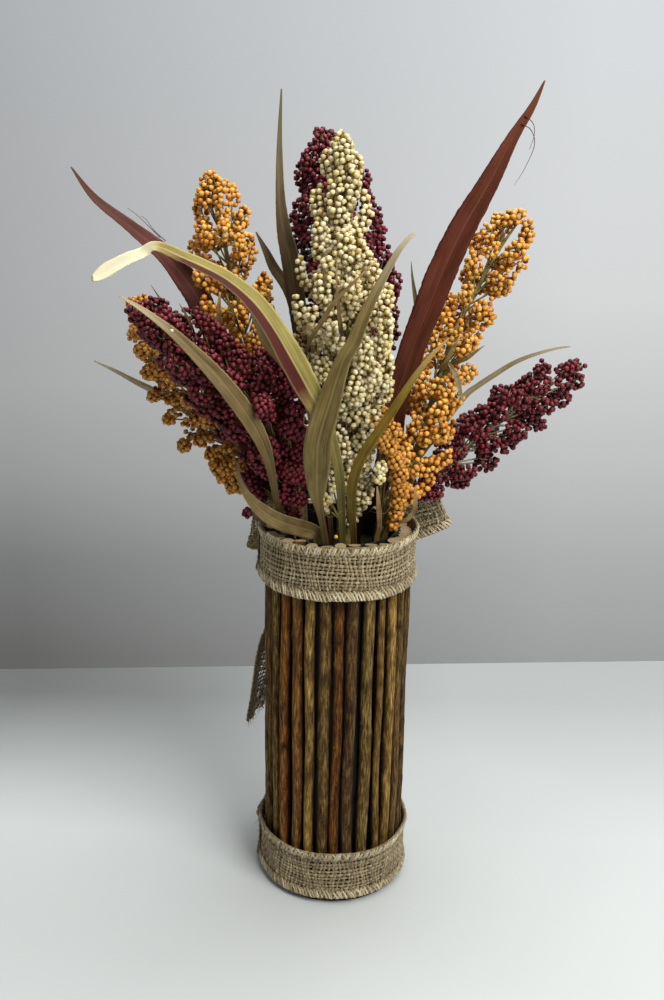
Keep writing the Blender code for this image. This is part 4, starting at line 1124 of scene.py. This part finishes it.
# Its dark stalk is painted shade in the mouth of the vase.
BROAD_TAN = leaf_finish(
    "green_leaf", "tan_leaf_with_shade_painted_at_stalk", (126, 109, 63), (86, 70, 31), (162, 146, 100), (156, 140, 94),
    (166, 155, 126), (48, 28, 26), 0.30,
)
OLD_TAN = leaf_finish(
    "green_leaf", "old_tan_leaf", (114, 96, 58), (76, 60, 30), (146, 130, 90), (144, 128, 88), (180, 166, 132),
    (140, 122, 86), 0.5,
)
RIM_GREEN = leaf_finish(
    "green_leaf", "olive_tan_leaf", (126, 108, 66), (88, 72, 36), (156, 140, 98), (148, 132, 90), (116, 95, 60),
    (206, 192, 158), 0.25,
)
YELLOW_GREEN = leaf_finish(
    "green_leaf", "yellow_green_leaf", (118, 97, 26), (80, 62, 12), (150, 129, 50), (144, 124, 50),
    (158, 130, 76), (100, 92, 58), 0.5,
)
BROWN_TAN = leaf_finish(
    "tan_leaf", "brown_tan_leaf", (132, 108, 68), (90, 70, 38), (166, 142, 100), (156, 132, 92), (164, 138, 98),
    (78, 64, 42), 0.75,
)
LEAVES = {
    "red_leaf_right": (RED_RIGHT, (0, -1, 0), (-0.5, -0.9, 0.4), [
        (13, 10, 262, 6), (16, 10, 287, 9), (33, 8, 321, 17), (38, 4, 370, 18), (44, 2, 394, 18), (51, 0, 419, 18.5),
        (59, -4, 443, 19.5), (67, -8, 467, 20), (78, -12, 493, 19), (92, -16, 520, 15), (105, -18, 547, 9),
        (116, -20, 566, 5), (123, -20, 582, 1),
    ]),
    "red_leaf_left": (RED_LEFT, (0.2, -1, 0), (0.5, -0.8, 0.4), [
        (-17, -2, 262, 5), (-24, -2, 284, 7), (-40, -3, 301, 11), (-55, -4, 319, 14), (-66, -3, 345, 14),
        (-75, 0, 373, 15), (-84.6, 16, 403.3, 17), (-97.7, 28, 429.7, 18.5), (-106.3, 31, 445.3, 18.5),
        (-124.2, 28, 468.4, 14.5), (-147.7, 20, 488.9, 9), (-168.3, 10, 506.8, 5.5), (-180.4, 0, 526.1, 1),
    ]),
    "folded_leaf": (TWO_TONE, (0, -1, 0), (0.1, -0.6, 0.8), [
        (3, -33, 262, 4), (3, -36, 280, 4.4), (2, -39, 306, 5.4), (0, -46, 332, 7), (-5, -54, 356, 8),
        (-11, -59, 374, 11), (-19, -62, 389.5, 15), (-30, -62.5, 410, 17), (-43, -61.5, 432, 14.5),
        (-56, -60, 448.5, 13), (-72, -58.5, 461, 11), (-87, -57, 468.5, 9.5), (-103, -55.5, 475, 8.5),
        (-113, -54.5, 479, 8), (-119, -54, 479.5, 7.5), (-124.8, -54, 475.6, 8.5), (-133, -54, 472.4, 10.5),
        (-141.4, -53.5, 468.3, 12.5), (-148.6, -53, 464.4, 13.5), (-154.5, -52.5, 460.9, 10.5),
        (-158.2, -52, 458.7, 4),
    ]),
    "upright_leaf": (OLIVE_GREY, (0, -1, 0), (0.3, -1, 0), [
        (-8, 6, 262, 5), (-9, 8, 285, 7), (-14, 10, 330, 9), (-22, 14, 380, 11), (-30, 18, 426, 12.5),
        (-37, 22, 468, 12.5), (-41, 24, 485, 10.5), (-44, 26, 507, 7), (-45, 30, 542, 4), (-44, 34, 579, 1),
    ]),
    "hidden_leaf": (OLIVE_GREY, (0, -1, 0), (0.2, -1, 0.2), [
        (-12, 23, 262, 4), (-13, 25, 285, 6), (-18, 28, 340, 7.5), (-24, 31, 380, 8.5), (-30, 34, 417, 8.5),
        (-38, 36, 444, 8.5), (-49, 38, 460, 7.5), (-55, 38, 472, 5), (-62, 38, 485, 1),
    ]),
    "broad_leaf": (BROAD_TAN, (0, -1, 0), (-0.5, -0.8, 0.3), [
        (-9, -35, 262, 3.8), (-9, -38, 281, 3.8), (-12, -43, 300, 4.2), (-14, -47.5, 313, 7.5), (-15, -51, 323, 12.5),
        (-15, -58, 342, 18.5), (-14, -64, 360, 19), (-7, -68, 387, 15), (0.5, -70, 412, 10.5), (7.5, -70, 425, 9.5),
        (14, -69.5, 442.5, 8), (22.5, -67.5, 460, 6.3), (32, -63.5, 477.5, 4.5), (38, -60.5, 485.5, 3.5),
        (41.5, -58.5, 489, 3), (44, -57.5, 490.5, 1),
    ]),
    "green_leaf_right": (YELLOW_GREEN, (0, -1, 0), (-0.3, -0.9, 0.4), [
        (11, -34, 262, 3.6), (11, -37, 280, 4), (9.5, -43, 299, 5), (8.5, -49, 319, 6.5), (10, -54, 334, 7.2),
        (16, -58, 351, 7), (27.5, -60, 370.1, 6.2), (37.3, -59, 385.8, 5.4), (48.5, -54, 402.6, 4.2),
        (58.7, -48, 414.7, 2.8), (69, -43, 424.4, 1),
    ]),
    "green_leaf_left": (OLD_TAN, (0, -1, 0), (0.4, -0.8, 0.5), [
        (-31, -17, 262, 4), (-34, -18.5, 280, 4.2), (-39, -22.5, 293, 4.2), (-42.5, -29, 305, 4.3),
        (-44, -36.5, 318, 4.8), (-45.8, -45, 334, 6.2), (-49.2, -53, 351, 9), (-56, -59, 368, 11.4),
        (-66.5, -62, 385, 12), (-79.5, -62, 401, 10.8), (-93.5, -60, 415, 9), (-108, -57, 427.5, 6.4),
        (-125, -54, 439.5, 4), (-141, -52, 448.5, 1),
    ]),
    "far_left_leaf": (GREY_GREEN, (0, -1, 0.3), (0.3, -0.7, 0.7), [
        (-35, 13, 262, 4), (-36, 14, 281, 4), (-43, 18, 293, 4.5), (-67, 32, 320, 6), (-103, 43, 348, 6),
        (-120, 45, 357, 6), (-138, 46, 368, 5.5), (-152, 46, 375, 4.5), (-166, 44, 383, 3), (-182, 42, 391, 1),
    ]),
    "rim_leaf": (RIM_GREEN, (0, -1, 0), (0.3, -0.9, 0.3), [
        (-14, -29, 262, 5), (-13, -32, 279, 8), (-17, -34, 287, 11.5), (-29, -32, 290, 12.5), (-40, -31, 293, 12),
        (-49, -31, 298, 11), (-57, -31.5, 305, 8.5), (-64, -32, 314, 5.5), (-69, -32, 326, 3.2), (-69, -32, 338, 1),
    ]),
    "far_right_leaf": (GREY_GREEN, (0, -1, 0), (-0.3, -0.8, 0.5), [
        (27, 20, 262, 4), (31, 20.5, 281, 4), (39, 21, 296, 4.5), (52, 20, 319, 4.8), (72, 20, 350, 4.8),
        (89, 24, 373, 4.6), (99, 26, 381, 4.2), (111, 28, 389, 4), (123, 28, 397, 3.5), (136, 28, 403, 2.8),
        (152, 28, 408, 1.8), (163, 28, 410, 1),
    ]),
    "curl_leaf_left": (BROWN_TAN, (0, -1, 0), (0.2, -1, 0), [
        (25, -25, 262, 3.5), (27, -26, 281, 3.5), (28.5, -28, 291, 3.5), (27.5, -30, 306, 3.4), (26, -30, 320, 1),
    ]),
    "curl_leaf_right": (BROWN_TAN, (0, -1, 0), (-0.2, -1, 0), [
        (32, -20, 262, 3.5), (33, -22, 282, 3.5), (39, -25, 292, 3.5), (47, -28, 295.5, 3.5), (51.5, -28, 301, 3.4),
        (53, -28, 309, 3), (52, -26, 318, 1),
    ]),
    "narrow_leaf": (BROWN_TAN, (0, -1, 0), (0.3, -0.9, 0.4), [
        (-4, -23, 262, 3.5), (-5, -26, 285, 3.5), (-9, -31, 320, 3.5), (-14, -38, 345, 3.5), (-19, -45, 369, 3.5),
        (-26, -50, 390, 4.5), (-36, -53, 406, 5.5), (-48, -54, 420, 5.5), (-54, -53, 432, 4), (-59, -52, 443, 1),
    ]),
}
for seed, (node, (skin, base_face, tip_face, points)) in enumerate(LEAVES.items(), start=101):
    x, y, z, width = points[0]
    leaf(f"blade_{node}", node, base_face, tip_face, [(x, y, z - STALK_DEPTH, width), *points], skin, seed)


# Loose bits: narrow bracts and strips of dry sheath that stand among the heads, and a few stray fibres and seeds.
# Each is a thin piece of leaf that grows out of the head or the stalk behind it.
SPRIGS = {
    "strip_over_cream_head": (BROWN_TAN, (0, -1, 0), [
        (-24, -50, 405, 1.5), (-21, -64, 422, 2.4), (-13, -66.5, 436, 3), (-4, -66.5, 450, 2.6), (7, -65, 461, 1.8),
        (19, -62, 473, 0.5),
    ]),
    "bract_on_cream_head": (BROWN_TAN, (0.3, -1, 0), [
        (0, -50, 425, 1.2), (-1, -62, 432, 3), (-2.5, -64, 445, 2.4), (-4, -63, 460, 1.4), (-4, -62, 472, 0.4),
    ]),
    "bract_on_orange_left": (BROWN_TAN, (0.2, -1, 0), [
        (-82, 2, 412, 1.5), (-83, -10, 424, 3.2), (-83, -13, 436, 3), (-82, -13, 448, 1.2),
    ]),
    "pale_bract_on_orange_left": (TAN_GREEN, (-0.4, -1, 0.2), [
        (-70, 0, 420, 1.5), (-72, -10, 430, 2.6), (-76, -11, 441, 1.4), (-78, -11, 446, 0.5),
    ]),
    "bract_on_burgundy_left": (TAN_GREEN, (-0.4, -1, 0.2), [
        (-96, -32, 420, 1.2), (-98, -40, 430, 2.0), (-102, -41, 438, 1.4), (-105, -41, 443, 0.5),
    ]),
    "spike_behind_burgundy_left": (GREY_GREEN, (-0.3, -1, 0), [
        (-120, 22, 420, 1.6), (-125.5, 23, 433, 1.8), (-130, 24, 441, 1.2), (-135, 25, 448, 0.4),
    ]),
    "husk_high_on_orange_right": (TAN_GREEN, (0, -1, 0.4), [
        (76, 0, 400, 1.5), (85, -4, 405, 3.4), (93, -5, 411, 1.6), (98, -5, 415, 0.5),
    ]),
    "husk_on_orange_right": (GREY_GREEN, (0, -1, 0.3), [
        (72, 0, 404, 1.5), (78, -10, 395, 3.6), (82, -12, 383, 2.4), (84, -12, 376, 0.5),
    ]),
    "husk_low_on_orange_right": (TAN_GREEN, (0.2, -1, 0.3), [
        (66, 0, 392, 1.5), (72, -8, 404, 3.2), (77, -8, 415, 2.0), (80, -8, 421, 0.5),
    ]),
    "blade_between_heads": (GREY_GREEN, (0, -1, 0), [
        (57, 25, 395, 2), (55, 25, 420, 4), (51.5, 25, 440, 3.4), (48, 22, 458, 1.6), (47, 21, 468, 0.5),
    ]),
    "purple_stalk": (RED_LEFT, (0, -1, 0), [
        (-7, -33, 252, 3.4), (-8, -36, 279, 3.6), (-11, -38, 300, 3.6), (-12, -38, 316, 1.2),
    ]),
    "sheath_in_mouth": (GREY_GREEN, (0.2, -1, 0), [
        (-22, -19, 252, 4), (-24, -20, 286, 5.5), (-25, -21, 304, 5), (-25, -20, 318, 1),
    ]),
}
for seed, (name, (skin, face, points)) in enumerate(SPRIGS.items(), start=201):
    leaf(name, None, face, face, points, skin, seed, rows=24, fold=0.16, thick=0.35)

FIBRES = {
    "fibres_on_left_red_leaf": (RED_LEFT, [
        [(-122.5, -3, 482), (-130, -6, 490), (-137, -8, 497), (-142.4, -9, 500.8)],
        [(-119, -3, 480), (-126, -6, 487), (-131, -7, 494), (-134, -8, 496)],
    ]),
    "fibres_on_right_red_leaf": (RED_RIGHT, [
        [(110, -19, 556), (116, -22, 553), (119, -22, 544), (114, -22, 530), (107.9, -22, 519.5)],
        [(112, -19, 561), (117, -22, 557), (118.5, -22, 550), (116, -22, 541)],
    ]),
    "fibres_over_mouth": (BROWN_TAN, [
        [(-20, -30, 300), (-14, -38, 304), (-6, -42, 301), (2, -44, 306)],
        [(20, -28, 300), (24, -36, 306), (31, -38, 303), (36, -36, 309)],
    ]),
}
for name, ((slot, finish), hairs) in FIBRES.items():
    paths = np.array([smooth_run([(*point, 0.4) for point in hair], 24)[0][:, :3] for hair in hairs])
    thick = np.linspace(0.30, 0.12, 24)[None] * MM
    facing = np.broadcast_to((0.2, -0.9, 0.35), paths.shape)
    fibres = tube_batch(paths, thick, thick, facing, 5, 0, [0.5] * len(paths))
    make_piece(name, [fibres], [finish])

STRAY_SEEDS = {
    "stray_orange_seed": (orange, (-1.5, -51.3, 290.0)),
    "stray_cream_seed": (cream, (-108.0, -56.0, 427.5)),
}
STRAY_SIZE = 1.6 * MM
for name, ((slot, finish), place) in STRAY_SEEDS.items():
    batch = seed_batch(np.array([place]) * MM, np.array([STRAY_SIZE]), np.array([[0.0, -0.4, 0.9]]), [0.3], 0)
    make_piece(name, [batch], [finish])
